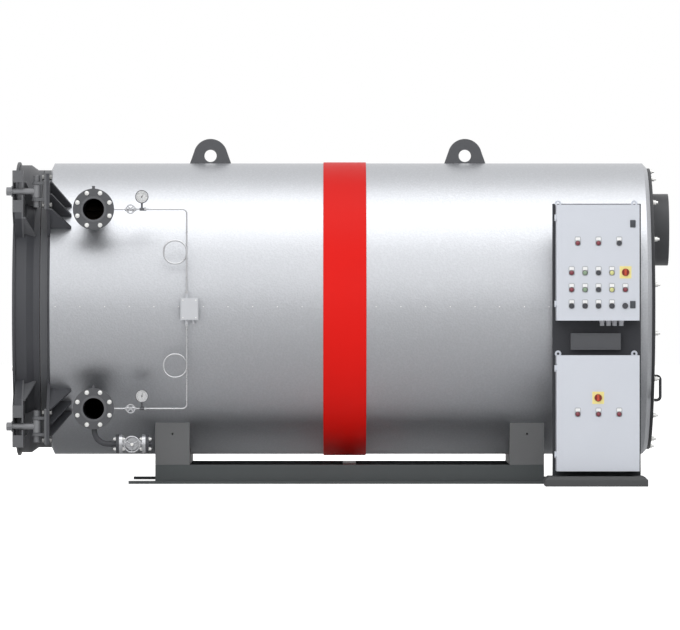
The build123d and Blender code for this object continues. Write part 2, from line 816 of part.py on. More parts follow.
def impulse_line(level):
    """From the neck along the jacket, round one loop, to the transmitter."""
    z = axis_z + level * nozzle_h
    loop_far = axis_z + level * (loop_h + loop_half)
    loop_near = axis_z + level * (loop_h - loop_half)
    left = line_x - 2 * loop_half
    step = loop_shift / 4
    box_z = axis_z + level * (box_half_h + fitting_h - seat)
    points = [
        (line_start, line_y, z),
        (line_x, line_y, z),
        (line_x, line_y - step, loop_near),
        (left, line_y - 2 * step, loop_near),
        (left, line_y - 3 * step, loop_far),
        (line_x, line_y - 4 * step, loop_far),
        (line_x, line_y - loop_shift, box_z),
    ]
    radii = [line_bend, loop_bend, loop_bend, loop_bend, loop_bend]
    return pipe_run(line_r, radii, points)


fitting_r = 11
fitting_h = 26
socket_h = 6             # how deep the tube's end sits in its fitting
save("impulse_pipes", impulse_line(1), impulse_line(-1))

transmitter = block(box_x0, box_x1, box_y0, box_y1, axis_z - box_half_h, axis_z + box_half_h)
for level in (-1, 1):
    end_z = axis_z + level * (box_half_h + fitting_h)
    fitting = rod_z(fitting_r, axis_z + level * box_half_h, end_z, line_x, line_y - loop_shift)
    socket_z = end_z - level * socket_h
    fitting -= rod_z(line_r + seat, socket_z, end_z, line_x, line_y - loop_shift)
    transmitter += fitting
gland_r = 10
gland_x = line_x + 40
gland_h = 24
gland_top = axis_z - box_half_h
transmitter += rod_z(gland_r, gland_top - gland_h, gland_top, gland_x, line_y)
bracket_half = 30        # the foot that stands the box off the jacket
bracket_inset = 10
jacket_seat_r = lagging_r + seat
transmitter += block(
    box_x0 + bracket_inset,
    box_x1 - bracket_inset,
    box_y1,
    1 - jacket_seat_r,
    axis_z - bracket_half,
    axis_z + bracket_half,
)
transmitter -= rod_x(jacket_seat_r, box_x0 - 1, box_x1 + 1, 0, axis_z)
save("transmitter_box", transmitter)

# Gauges and their isolating valves on the horizontal runs
gauge_x = nozzle_x + 293
gauge_h = 76
gauge_r = 40
gauge_depth = 32
gauge_stem_r = 6
gauge_back = 12
tee_half = 14
tee_r = 9
cock_x = gauge_x - 68
cock_half = 22
cock_r = 11
cock_stem_y = line_y - 37
cock_stem_r = 7
cock_wheel_r = 29
cock_rim_t = 7
gauges = []
cocks = []
for level in (-1, 1):
    z = axis_z + level * nozzle_h
    tee = rod_x(tee_r, gauge_x - tee_half, gauge_x + tee_half, line_y, z)
    tee += rod_z(gauge_stem_r, z, z + gauge_h, gauge_x, line_y)
    case_y = line_y + gauge_back
    case = rod_y(gauge_r, case_y - gauge_depth, case_y, gauge_x, z + gauge_h)
    recess = rod_y(gauge_r - 4, case_y - gauge_depth - 1, case_y - gauge_depth + 5, gauge_x, z + gauge_h)
    gauge = tee + (case - recess)
    gauges.append(gauge - rod_x(line_r + seat, gauge_x - 50, gauge_x + 50, line_y, z))
    cock = rod_x(cock_r, cock_x - cock_half, cock_x + cock_half, line_y, z)
    cock += rod_y(cock_stem_r, cock_stem_y, line_y, cock_x, z)
    cock -= rod_x(line_r + seat, cock_x - 50, cock_x + 50, line_y, z)
    rim_y = cock_stem_y + cock_rim_t
    rim = rod_y(cock_wheel_r, cock_stem_y, rim_y, cock_x, z)
    rim -= rod_y(cock_wheel_r - cock_rim_t, cock_stem_y - 1, rim_y + 1, cock_x, z)
    reach = cock_wheel_r - cock_rim_t / 2
    for turn in (45, 135):
        bar = block(-reach, reach, cock_stem_y + 1, rim_y - 1, -cock_rim_t / 2, cock_rim_t / 2)
        rim += Pos(cock_x, 0, z) * Rot(0, turn, 0) * bar
    cocks.append(cock + rim)
save("pressure_gauges", *gauges)
save("gauge_valves", *cocks)

# Plinth of the cabinets, held to the skid by two outrigger bars
cabinet_x0 = 1248
cabinet_x1 = 1748
cabinet_back = -lagging_r - 60
cabinet_depth = 200
cabinet_h = 700
cabinet_gap = 210        # between the two cabinets, above each other
plinth_x0 = cabinet_x0 - 70
plinth_x1 = cabinet_x1 + 49
plinth_y0 = cabinet_back - cabinet_depth - 110
plinth_y1 = cabinet_back + 55
plinth_h = 60
plinth_chamfer = 20
outrigger_w = 60
outrigger_places = (plinth_x0 + 52, plinth_x0 + 132)
plinth = block(plinth_x0, plinth_x1, plinth_y0, plinth_y1, 0, plinth_h)
plinth = chamfer(plinth.faces().sort_by(Axis.Z)[-1].edges(), plinth_chamfer)
outrigger_h = plinth_h - plinth_chamfer - 10
for bar_x in outrigger_places:
    plinth += block(
        bar_x - outrigger_w / 2, bar_x + outrigger_w / 2, plinth_y1, -sole_in - sole_w, 0, outrigger_h
    )
save("cabinet_plinth", plinth)

# Stand: three posts with rails, and a back plate between the cabinets
lower_z = plinth_h + 30
lower_top = lower_z + cabinet_h
upper_z = lower_top + cabinet_gap
stand_x0 = cabinet_x0 - 19
stand_x1 = cabinet_x1 + 17
stand_depth = 35
stand_top = upper_z + cabinet_h + 8
post_w = 36
rail_h = 40
stand_back = cabinet_back + stand_depth
stand = block(stand_x0, stand_x1, cabinet_back, stand_back, plinth_h, stand_top)
stand_middle = (stand_x0 + stand_x1) / 2
windows = ((plinth_h + rail_h, lower_top - rail_h), (upper_z + rail_h, stand_top - rail_h))
bays = (
    (stand_x0 + post_w, stand_middle - post_w / 2),
    (stand_middle + post_w / 2, stand_x1 - post_w),
)
for window_z0, window_z1 in windows:
    for bay_x0, bay_x1 in bays:
        stand -= block(bay_x0, bay_x1, cabinet_back - 1, stand_back + 1, window_z0, window_z1)
save("cabinet_stand", stand)

terminal_x0 = cabinet_x0 + 90
terminal_x1 = terminal_x0 + 303
terminal_z0 = lower_top + 32
terminal_z1 = terminal_z0 + 101
terminal_depth = 60
terminal_box = block(
    terminal_x0, terminal_x1, cabinet_back - terminal_depth, cabinet_back, terminal_z0, terminal_z1
)
save("terminal_box", terminal_box)

# Cabinets: folded sheet boxes with doors on pin hinges at the left
sheet_t = 2
cabinet_front = cabinet_back - cabinet_depth
door_gap = 1
door_depth = 20
door_face = cabinet_front - door_gap - door_depth
hinge_x = cabinet_x0 - 7
hinge_y = cabinet_front - door_gap
hinge_pin_r = 3
hinge_barrel_r = 6
hinge_h = 30
hinge_inset = 90
mount_eye_r = 19.5
mount_hole_r = 7.5
mount_eye_t = 6
eye_places = (cabinet_x0 + 15, cabinet_x1 - 23)
rim_w = 15               # rim round the opening of the cabinet


def cabinet(z0):
    """The fixed box, with its rim, hinge pins and fixing eyes."""
    z1 = z0 + cabinet_h
    box = block(cabinet_x0, cabinet_x1, cabinet_front, cabinet_back, z0, z1)
    box -= block(
        cabinet_x0 + sheet_t,
        cabinet_x1 - sheet_t,
        cabinet_front + sheet_t,
        cabinet_back - sheet_t,
        z0 + sheet_t,
        z1 - sheet_t,
    )
    box -= block(
        cabinet_x0 + rim_w,
        cabinet_x1 - rim_w,
        cabinet_front - 1,
        cabinet_front + sheet_t + 1,
        z0 + rim_w,
        z1 - rim_w,
    )
    for eye_x in eye_places:
        eye_y = cabinet_back - mount_eye_t
        box += rod_y(mount_eye_r, eye_y, cabinet_back, eye_x, z1 + mount_hole_r + 1)
        box -= rod_y(mount_hole_r, eye_y - 1, cabinet_back + 1, eye_x, z1 + mount_hole_r + 1)
    for pin_z0 in (z0 + hinge_inset, z1 - hinge_inset):
        box += block(hinge_x - 6, cabinet_x0, cabinet_front, hinge_y + 10, pin_z0 - 8, pin_z0)
        box += rod_z(hinge_barrel_r, pin_z0 - 8, pin_z0, hinge_x, hinge_y)
        box += rod_z(hinge_pin_r, pin_z0, pin_z0 + hinge_h, hinge_x, hinge_y)
    return box


def cabinet_door(z0):
    """The door: a folded tray with two hinge barrels."""
    z1 = z0 + cabinet_h
    rear = door_face + door_depth
    tray = block(cabinet_x0, cabinet_x1, door_face, rear, z0, z1)
    tray -= block(
        cabinet_x0 + sheet_t, cabinet_x1 - sheet_t, door_face + sheet_t, rear + 1, z0 + sheet_t, z1 - sheet_t
    )
    for pin_z0 in (z0 + hinge_inset, z1 - hinge_inset):
        barrel_z0 = pin_z0 + seat
        barrel_z1 = pin_z0 + hinge_h
        knuckle = rod_z(hinge_barrel_r, barrel_z0, barrel_z1, hinge_x, hinge_y)
        knuckle += block(hinge_x - hinge_barrel_r, cabinet_x0, hinge_y - 10, hinge_y - 4, barrel_z0, barrel_z1)
        tray += knuckle - rod_z(hinge_pin_r + seat, barrel_z0 - 1, barrel_z1 + 1, hinge_x, hinge_y)
    return tray


save("upper_cabinet", cabinet(upper_z))
save("lower_cabinet", cabinet(lower_z))
save("upper_cabinet_door", cabinet_door(upper_z))
save("lower_cabinet_door", cabinet_door(lower_z))

# Mounting plates inside the cabinets, on four spacers each
mounting_inset = 25
mounting_t = 3
spacer_r = 6
spacer_h = 18
mounting_plates = []
for z0 in (upper_z, lower_z):
    wall = cabinet_back - sheet_t
    plate_y = wall - spacer_h
    plate = block(
        cabinet_x0 + mounting_inset,
        cabinet_x1 - mounting_inset,
        plate_y - mounting_t,
        plate_y,
        z0 + mounting_inset,
        z0 + cabinet_h - mounting_inset,
    )
    for spacer_x in (cabinet_x0 + 2 * mounting_inset, cabinet_x1 - 2 * mounting_inset):
        for spacer_z in (z0 + 2 * mounting_inset, z0 + cabinet_h - 2 * mounting_inset):
            plate += rod_y(spacer_r, plate_y, wall, spacer_x, spacer_z)
    mounting_plates.append(plate)
save("mounting_plates", *mounting_plates)

# Cable glands under the upper cabinet
cable_gland_r = 13.5
cable_gland_h = 32
cable_gland_nut_h = 12
cable_gland_places = [cabinet_x1 - inset for inset in (222, 182, 146, 106)]
gland_y = cabinet_back - cabinet_depth / 2
glands = []
for gland_at in cable_gland_places:
    face = Pos(gland_at, gland_y, upper_z - cable_gland_nut_h) * RegularPolygon(cable_gland_r + 3, 6)
    gland = extrude(face, cable_gland_nut_h)
    gland += rod_z(cable_gland_r, upper_z - cable_gland_h, upper_z - cable_gland_nut_h, gland_at, gland_y)
    glands.append(gland)
save("cable_glands", *glands)

# Controls on the doors: lamps and switches on label plates, main switches and locks
label_w = 40
label_h = 58
label_t = 2
lens_r = 15
lens_h = 12
lens_drop = 12           # lens centre below the middle of its label
row_pitch = 81
door_middle = (cabinet_x0 + cabinet_x1) / 2
wide_pitch = 125
rows = (
    (479, wide_pitch, (-1, 0, 1)),
    (303, row_pitch, (-2, -1, 0, 1)),
    (198, row_pitch, (-2, -1, 0, 1, 2)),
    (100, row_pitch, (-2, -1, 0, 1)),
)
main_switch_w = 71
main_switch_h = 74
main_knob_r = 22
main_knob_h = 24
round_knob_r = 18
lock_w = 33
lock_tall = 45
lock_t = 8


def control(x, z):
    """A label plate with a round lamp or knob in its lower half."""
    face = door_face - label_t
    plate = block(x - label_w / 2, x + label_w / 2, face, door_face, z - label_h / 2, z + label_h / 2)
    return plate + rod_y(lens_r, face - lens_h, face, x, z - lens_drop)


def main_switch(x, z):
    """A square plate with a large rotary knob."""
    face = door_face - label_t
    half_w = main_switch_w / 2
    half_h = main_switch_h / 2
    plate = block(x - half_w, x + half_w, face, door_face, z - half_h, z + half_h)
    knob = rod_y(main_knob_r, face - main_knob_h / 2, face, x, z)
    grip_half = main_knob_r / 3
    knob += block(
        x - grip_half, x + grip_half, face - main_knob_h, face, z - main_knob_r * 0.9, z + main_knob_r * 0.9
    )
    return plate + knob


upper_controls = []
for row_h, pitch, places in rows:
    for place in places:
        upper_controls.append(control(door_middle + place * pitch, upper_z + row_h))
upper_controls.append(main_switch(cabinet_x1 - 85, upper_z + 291))
knob_top = door_face - lens_h - label_t
upper_controls.append(rod_y(round_knob_r, knob_top, door_face, door_middle + 2 * row_pitch, upper_z + 100))
lock_x0 = cabinet_x1 - 41 - lock_w / 2
for lock_h in (584, 96):
    lock_z0 = upper_z + lock_h - lock_tall / 2
    upper_controls.append(
        block(lock_x0, lock_x0 + lock_w, door_face - lock_t, door_face, lock_z0, lock_z0 + lock_tall)
    )
save("upper_controls", *upper_controls)
lower_controls = [main_switch(door_middle, lower_z + 444)]
for place in (-1, 0, 1):
    lower_controls.append(control(door_middle + place * wide_pitch, lower_z + 355))
save("lower_controls", *lower_controls)
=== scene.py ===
import math

import bpy
from mathutils import Matrix, Vector


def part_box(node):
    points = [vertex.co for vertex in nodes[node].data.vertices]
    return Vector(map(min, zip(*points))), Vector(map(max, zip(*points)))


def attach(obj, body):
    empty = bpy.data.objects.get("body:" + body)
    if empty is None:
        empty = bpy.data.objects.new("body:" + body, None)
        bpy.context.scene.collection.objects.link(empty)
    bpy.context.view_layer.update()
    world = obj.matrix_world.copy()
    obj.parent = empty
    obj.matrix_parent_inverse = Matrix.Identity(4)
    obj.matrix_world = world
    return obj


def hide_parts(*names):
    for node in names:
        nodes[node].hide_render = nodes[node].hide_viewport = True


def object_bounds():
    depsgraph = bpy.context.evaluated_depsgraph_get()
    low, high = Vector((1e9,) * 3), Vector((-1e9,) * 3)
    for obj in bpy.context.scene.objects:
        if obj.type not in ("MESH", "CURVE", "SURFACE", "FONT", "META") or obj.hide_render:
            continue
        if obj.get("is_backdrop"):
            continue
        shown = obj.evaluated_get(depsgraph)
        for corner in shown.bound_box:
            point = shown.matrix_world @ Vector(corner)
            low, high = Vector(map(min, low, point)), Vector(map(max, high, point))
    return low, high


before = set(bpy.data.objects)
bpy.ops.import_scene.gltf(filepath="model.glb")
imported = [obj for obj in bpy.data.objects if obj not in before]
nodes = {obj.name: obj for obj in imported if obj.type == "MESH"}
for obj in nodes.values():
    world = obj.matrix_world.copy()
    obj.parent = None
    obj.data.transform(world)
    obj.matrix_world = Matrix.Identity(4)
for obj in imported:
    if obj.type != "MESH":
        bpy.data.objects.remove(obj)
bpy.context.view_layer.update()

# Camera
# The photograph looks square on at the cabinet side, from far off through a long lens, so the two
# ends of the boiler show almost no depth.


def linked(name, data):
    """A new object in the scene that holds this data."""
    made = bpy.data.objects.new(name, data)
    bpy.context.scene.collection.objects.link(made)
    return made


camera_at = (-0.102, -44.0, 1.112)
camera_lens = 375.7
picture_width = 680
picture_shift = (7, -13)            # pixels from the optical axis to the middle of the picture
camera_data = bpy.data.cameras.new("camera")
camera_data.lens = camera_lens
camera_data.sensor_width = 36
camera_data.shift_x = picture_shift[0] / picture_width
camera_data.shift_y = picture_shift[1] / picture_width
camera_data.clip_end = 200
camera = linked("camera", camera_data)
camera.location = camera_at
camera.rotation_euler = (math.radians(90), 0, 0)
bpy.context.scene.camera = camera

# Studio
# A white room: two wide lamps overhead, one of them for shine alone, make the bright band along the
# jacket, a large soft one above the front carries it down the sheet, and a pale floor holds the shadow.
ambient = 0.45
floor_tone = 0.9
floor_size = 160
floor_white = 0.85                  # share of plain white that the camera sees in the floor
lamps = {
    "overhead": ((0, -1.6, 5.2), (0, -0.9, 0), (8, 4.2), 42, True, True),
    "overhead_shine": ((0, -1.4, 5.3), (0, -0.9, 0), (8, 3.4), 108, True, False),
    "front_sky": ((0, -10, 6.5), (0, 0, 1.0), (18, 8), 270, True, True),
    "front_fill": ((-1.5, -9.5, 3.2), (0, 0, 1.0), (8, 5), 300, False, True),
    "rear_fill": ((3.0, 9.5, 4.2), (0, 0, 1.0), (8, 5), 450, False, True),
}


def node(tree, kind, inputs=(), **settings):
    """A shader node with its settings, and its inputs as values or links."""
    made = tree.nodes.new("ShaderNode" + kind)
    for key, value in settings.items():
        setattr(made, key, value)
    for key, value in dict(inputs).items():
        if isinstance(value, bpy.types.NodeSocket):
            tree.links.new(value, made.inputs[key])
        else:
            made.inputs[key].default_value = value
    return made


def maths(tree, operation, first, second=0.0):
    """The output of a math node with two inputs, as values or links."""
    return node(tree, "Math", {0: first, 1: second}, operation=operation).outputs[0]


def seen_directly(tree, mirrored):
    """1 where a ray comes straight from the camera or through glass, and off metal if mirrored."""
    path = node(tree, "LightPath").outputs
    seen = maths(tree, "MAXIMUM", path["Is Camera Ray"], path["Is Transmission Ray"])
    return maths(tree, "MAXIMUM", seen, path["Is Glossy Ray"]) if mirrored else seen


bpy.context.scene.view_settings.view_transform = "Standard"
world = bpy.data.worlds.new("studio")
bpy.context.scene.world = world
world.use_nodes = True
tree = world.node_tree
tree.nodes.clear()
tones = {0: seen_directly(tree, True), 6: (ambient, ambient, ambient, 1), 7: (1, 1, 1, 1)}
room = node(tree, "Mix", tones, data_type="RGBA")
background = node(tree, "Background", {"Color": room.outputs[2]})
node(tree, "OutputWorld", {"Surface": background.outputs[0]})

for name, (at, target, size, power, mirrored, lighting) in lamps.items():
    lamp_data = bpy.data.lights.new(name, "AREA")
    lamp_data.shape = "RECTANGLE"
    lamp_data.size, lamp_data.size_y = size
    lamp_data.energy = power
    lamp = linked(name, lamp_data)
    lamp.location = at
    lamp.rotation_euler = (Vector(target) - Vector(at)).to_track_quat("-Z", "Y").to_euler()
    lamp.visible_glossy = mirrored
    lamp.visible_diffuse = lighting
    lamp.visible_camera = False

bpy.ops.mesh.primitive_plane_add(size=floor_size, location=(0, 0, -0.001))
floor = bpy.context.object
floor.name = "studio_floor"
floor_finish = bpy.data.materials.new("studio_floor")
floor_finish.use_nodes = True
tree = floor_finish.node_tree
tree.nodes.clear()
matt = node(tree, "BsdfDiffuse", {"Color": (floor_tone, floor_tone, floor_tone, 1)})
glow = node(tree, "Emission", {"Color": (1, 1, 1, 1), "Strength": floor_white})
pale = node(tree, "AddShader", {0: matt.outputs[0], 1: glow.outputs[0]})
looks = {0: seen_directly(tree, False), 1: matt.outputs[0], 2: pale.outputs[0]}
floor_mix = node(tree, "MixShader", looks)
node(tree, "OutputMaterial", {"Surface": floor_mix.outputs[0]})
floor.data.materials.append(floor_finish)
floor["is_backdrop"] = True

# Lagging jacket
# Stucco-embossed aluminium sheet over mineral wool, in a front and a rear course. Each course is
# an upper and a lower half-round sheet, and the upper one laps over the lower one at axis height.
axis_z = 1.07
jacket_r = 0.9
sheet_t = 0.0012
jacket_spans = {"front": (-1.824, -0.03), "rear": (-0.03, 1.812)}
jacket_steps = 256
lap_above = 0.025
lap_below = 0.002
nozzle_x = -1.555
nozzle_levels = (1.675, 0.465)
nozzle_neck_r = 0.0705
lug_places = (-0.861, 0.715)
lug_foot_half = 0.129
lug_half_t = 0.0155
saddle_span = (0.98, 1.19)
saddle_half_y = 0.57
nozzle_cut_y = (-1.2, -0.3)         # how far the cutters reach
lug_cut_z = (1.8, 2.1)
saddle_cut_z = (0, 0.6)
emboss_cell = 0.011
emboss_depth = 0.0006


def tint(red, green, blue):
    """A colour written in 0-255 screen levels, as the shader takes it."""
    levels = [value / 255 for value in (red, green, blue)]
    linear = [value / 12.92 if value <= 0.04045 else ((value + 0.055) / 1.055) ** 2.4 for value in levels]
    return (*linear, 1)


def darker(colour, share):
    """A colour with its three channels taken to a share of what they are."""
    return (*[channel * share for channel in colour[:3]], 1)


def group(name, inputs, outputs):
    """A new shader node group, with a number, vector or colour socket for each name."""
    kinds = {"value": "NodeSocketFloat", "vector": "NodeSocketVector", "colour": "NodeSocketColor"}
    tree = bpy.data.node_groups.new(name, "ShaderNodeTree")
    for socket, kind in inputs.items():
        tree.interface.new_socket(socket, in_out="INPUT", socket_type=kinds[kind])
    for socket, kind in outputs.items():
        tree.interface.new_socket(socket, in_out="OUTPUT", socket_type=kinds[kind])
    return tree, tree.nodes.new("NodeGroupInput").outputs, tree.nodes.new("NodeGroupOutput").inputs


def use_group(tree, shared, **inputs):
    """Place a shared group in a material with this material's own values."""
    return node(tree, "Group", inputs, node_tree=shared).outputs


def fine_grain():
    """Fine speckle, and slow blotches, of the sizes given in metres."""
    tree, entry, leave = group(
        "fine_grain",
        {"Place": "vector", "Speck": "value", "Blotch": "value"},
        {"Speckle": "value", "Blotches": "value"},
    )
    for size, mask, detail in (("Speck", "Speckle", 3), ("Blotch", "Blotches", 5)):
        scale = maths(tree, "DIVIDE", 1.0, entry[size])
        spread = {"Vector": entry["Place"], "Scale": scale, "Detail": detail, "Roughness": 0.6}
        tree.links.new(node(tree, "TexNoise", spread).outputs["Fac"], leave[mask])
    return tree


def edge_wear():
    """1 on sharp edges, raggedly, where handling rubs a finish through."""
    tree, entry, leave = group(
        "edge_wear", {"Place": "vector", "Reach": "value", "Amount": "value"}, {"Mask": "value"}
    )
    softened = node(tree, "Bevel", {"Radius": entry["Reach"]}, samples=4)
    normals = {0: softened.outputs[0], 1: node(tree, "NewGeometry").outputs["Normal"]}
    facing = node(tree, "VectorMath", normals, operation="DOT_PRODUCT")
    bent = maths(tree, "SUBTRACT", 1.0, facing.outputs["Value"])
    ragged = node(tree, "TexNoise", {"Vector": entry["Place"], "Scale": 60, "Detail": 4})
    torn = maths(tree, "MULTIPLY", bent, ragged.outputs["Fac"])
    mask = node(tree, "Math", {0: torn, 1: entry["Amount"]}, operation="MULTIPLY", use_clamp=True)
    tree.links.new(mask.outputs[0], leave["Mask"])
    return tree


grain_group = fine_grain()
wear_group = edge_wear()


def surface(name, **plain):
    """A new material: its tree, its principled shader and its object coordinates."""
    material = bpy.data.materials.new(name)
    material.use_nodes = True
    tree = material.node_tree
    shader = tree.nodes["Principled BSDF"]
    for socket, value in plain.items():
        shader.inputs[socket.replace("_", " ")].default_value = value
    return material, tree, shader, node(tree, "TexCoord").outputs["Object"]


def between(tree, low, high, mask):
    """A colour or a number between two ends, by a mask."""
    if isinstance(low, float):
        return node(tree, "MapRange", {0: mask, 3: low, 4: high}).outputs[0]
    return node(tree, "Mix", {0: mask, 6: low, 7: high}, data_type="RGBA").outputs[2]


def feed(tree, shader, **inputs):
    """Link values to the shader's sockets."""
    for socket, value in inputs.items():
        tree.links.new(value, shader.inputs[socket.replace("_", " ")])


def relief(tree, shader, height, depth):
    """Raise a surface by a height mask, to this depth in metres."""
    bump = node(tree, "Bump", {"Height": height, "Distance": depth, "Strength": 1.0})
    feed(tree, shader, Normal=bump.outputs[0])


def stucco_aluminium():
    """Rounded pebbles pressed in bright sheet, whose gloss changes slowly along it."""
    material, tree, shader, place = surface("stucco_aluminium", Metallic=1.0)
    grain = use_group(tree, grain_group, Place=place, Speck=0.004, Blotch=0.5)
    cells = {"Vector": place, "Scale": 1 / emboss_cell, "Smoothness": 0.7}
    pebbles = node(tree, "TexVoronoi", cells, feature="SMOOTH_F1").outputs["Distance"]
    raised = maths(tree, "ADD", pebbles, grain["Speckle"])
    base = tint(182, 184, 188)
    # The colour follows the pebbles: darker in their hollows and lighter on their ridges, as painted shade.
    feed(
        tree,
        shader,
        Base_Color=between(tree, darker(base, 0.92), darker(base, 1.06), pebbles),
        Roughness=between(tree, 0.36, 0.46, grain["Blotches"]),
    )
    relief(tree, shader, raised, emboss_depth)
    return material


def only(piece):
    """Leave one piece selected and active."""
    bpy.ops.object.select_all(action="DESELECT")
    piece.select_set(True)
    bpy.context.view_layer.objects.active = piece


def finished(piece, name, material, body, slot, *replaced):
    """Name a new piece, put its place into its mesh, and give it its material and body. Its slot is not
    used.
    """
    only(piece)
    piece.name = name
    piece.data.name = name
    bpy.ops.object.transform_apply()
    piece.data.materials.clear()
    piece.data.materials.append(material)
    if replaced:
        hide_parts(*replaced)
    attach(piece, body)


def pick(piece, kind, test):
    """Go into edit mode with the faces, edges or vertices that pass a test selected."""
    only(piece)
    bpy.ops.object.mode_set(mode="EDIT")
    bpy.ops.mesh.select_mode(type={"faces": "FACE", "edges": "EDGE", "vertices": "VERT"}[kind])
    bpy.ops.mesh.select_all(action="DESELECT")
    bpy.ops.object.mode_set(mode="OBJECT")
    parts = {"faces": piece.data.polygons, "edges": piece.data.edges, "vertices": piece.data.vertices}
    for part in parts[kind]:
        part.select = bool(test(part))
    bpy.ops.object.mode_set(mode="EDIT")


def done():
    bpy.ops.object.mode_set(mode="OBJECT")


def modify(piece, kind, **settings):
    """Add a modifier and apply it."""
    only(piece)
    modifier = piece.modifiers.new(kind.lower(), kind)
    for key, value in settings.items():
        setattr(modifier, key, value)
    bpy.ops.object.modifier_apply(modifier=modifier.name)


def cut(piece, cutters):
    """Take other shapes away from a piece, and delete them."""
    for cutter in cutters:
        modify(piece, "BOOLEAN", object=cutter, operation="DIFFERENCE", solver="EXACT")
        bpy.data.objects.remove(cutter)


def bar(vertices, radius, start, end):
    """A new round bar between two points."""
    start, end = Vector(start), Vector(end)
    bpy.ops.mesh.primitive_cylinder_add(
        vertices=vertices,
        radius=radius,
        depth=(end - start).length,
        location=(start + end) / 2,
        rotation=(end - start).to_track_quat("Z", "Y").to_euler(),
    )
    bpy.ops.object.transform_apply()
    return bpy.context.object


def brick(low, high):
    """A new square block between two corners."""
    low, high = Vector(low), Vector(high)
    bpy.ops.mesh.primitive_cube_add(size=1, location=(low + high) / 2)
    bpy.context.object.scale = high - low
    bpy.ops.object.transform_apply()
    return bpy.context.object


def smooth(piece, angle=35):
    only(piece)
    bpy.ops.object.shade_smooth_by_angle(angle=math.radians(angle))
    return piece


def rounded(piece, width, segments=2):
    """Round every sharp edge, shade curves smooth and keep flat faces flat."""
    sharp = math.radians(40)
    modify(piece, "BEVEL", width=width, segments=segments, limit_method="ANGLE", angle_limit=sharp)
    smooth(piece)
    modify(piece, "WEIGHTED_NORMAL", keep_sharp=True)
    return piece


def half_round(span, upper):
    """One half-round sheet, with its openings cut, shaded smooth."""
    radius = jacket_r + (sheet_t if upper else 0)
    sheet = bar(jacket_steps, radius, (span[0], 0, axis_z), (span[1], 0, axis_z))
    pick(sheet, "faces", lambda face: abs(face.normal.x) > 0.9)
    bpy.ops.mesh.delete(type="FACE")
    bpy.ops.mesh.select_all(action="SELECT")
    level = axis_z + (lap_below if upper else lap_above)
    bpy.ops.mesh.bisect(plane_co=(0, 0, level), plane_no=(0, 0, 1), clear_inner=upper, clear_outer=not upper)
    done()
    modify(sheet, "SOLIDIFY", thickness=sheet_t, offset=-1)
    holes = []
    for nozzle_z in nozzle_levels:
        if span[0] < nozzle_x < span[1] and (nozzle_z > axis_z) == upper:
            holes.append(bar(64, nozzle_neck_r, *[(nozzle_x, y, nozzle_z) for y in nozzle_cut_y]))
    for lug_x in lug_places:
        if upper and span[0] < lug_x < span[1]:
            low = (lug_x - lug_foot_half, -lug_half_t, lug_cut_z[0])
            holes.append(brick(low, (lug_x + lug_foot_half, lug_half_t, lug_cut_z[1])))
    for end in (-1, 1):
        low, high = sorted((end * saddle_span[0], end * saddle_span[1]))
        if not upper and span[0] < low < span[1]:
            corner = (high, saddle_half_y, saddle_cut_z[1])
            holes.append(brick((low, -saddle_half_y, saddle_cut_z[0]), corner))
    cut(sheet, holes)
    return smooth(sheet)


stucco = stucco_aluminium()
for course, span in jacket_spans.items():
    for half in ("upper", "lower"):
        sheet = half_round(span, half == "upper")
        name = f"lagging_sheet_{course}_{half}"
        finished(sheet, name, stucco, "boiler", "lagging_sheet", f"cladding_{course}_{half}")

# End caps of the lagging
# Coned rings of the same sheet that close the wool at both ends, with a turned edge.


def dressed(name, solid, material, body, slot, rounding=0.0015, form=None):
    """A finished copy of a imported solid: facets joined, edges rounded and curves smooth."""
    piece = linked(name, nodes[solid].data.copy())
    only(piece)
    bpy.ops.mesh.customdata_custom_splitnormals_clear()
    bpy.ops.object.mode_set(mode="EDIT")
    bpy.ops.mesh.select_all(action="SELECT")
    bpy.ops.mesh.remove_doubles(threshold=0.00001)
    bpy.ops.mesh.dissolve_limited(angle_limit=math.radians(0.6))
    done()
    if form:
        form(piece)
    if rounding:
        rounded(piece, rounding)
    else:
        smooth(piece)
    finished(piece, name, material, body, slot, solid)


dressed("lagging_end_caps", "cladding_caps", stucco, "boiler", "lagging_sheet", 0.0012)

# Red band
# A formed steel cover strip, sprayed signal red, that hides the joint between the two courses.
band_span = (-0.1615, 0.1015)
band_r = 0.908
band_inner_r = jacket_r + 0.0014    # clear of the upper sheets
band_edge = 0.004


def painted(name, colour, roughness=0.45, wear=0.5, gloss=0.3, grime=0.1):
    """Sprayed paint on steel: a faint orange peel, slow blotches and rubbed edges."""
    material, tree, shader, place = surface(name, Specular_IOR_Level=gloss)
    grain = use_group(tree, grain_group, Place=place, Speck=0.003, Blotch=0.3)
    rubbed = use_group(tree, wear_group, Place=place, Reach=0.003, Amount=wear)["Mask"]
    skin = between(tree, darker(colour, 1 - grime), darker(colour, 1 + grime / 2), grain["Blotches"])
    feed(
        tree,
        shader,
        Base_Color=between(tree, skin, tint(150, 150, 152), rubbed),
        Roughness=between(tree, roughness - 0.06, roughness + 0.08, grain["Blotches"]),
    )
    relief(tree, shader, grain["Speckle"], 0.00008)
    return material


def ring(vertices, outer, inner, start, end):
    """A new flat ring between two points on its axis, closed all round."""
    made = bar(vertices, outer, start, end)
    along = (Vector(end) - Vector(start)).normalized()
    pick(made, "faces", lambda face: abs(face.normal.dot(along)) > 0.9)
    bpy.ops.mesh.inset(thickness=outer - inner, use_individual=True)
    bpy.ops.mesh.delete(type="FACE")
    bpy.ops.mesh.select_mode(type="EDGE")
    bpy.ops.mesh.select_non_manifold()
    bpy.ops.mesh.bridge_edge_loops()
    bpy.ops.mesh.select_all(action="SELECT")
    bpy.ops.mesh.normals_make_consistent(inside=False)
    done()
    return made


band = ring(jacket_steps, band_r, band_inner_r, *[(x, 0, axis_z) for x in band_span])
rounded(band, band_edge, segments=3)
band_paint = painted("band_paint", tint(222, 24, 18), wear=0.1, gloss=0.12, grime=0.04)
finished(band, "red_cover_band", band_paint, "boiler", "band_red", "red_band")
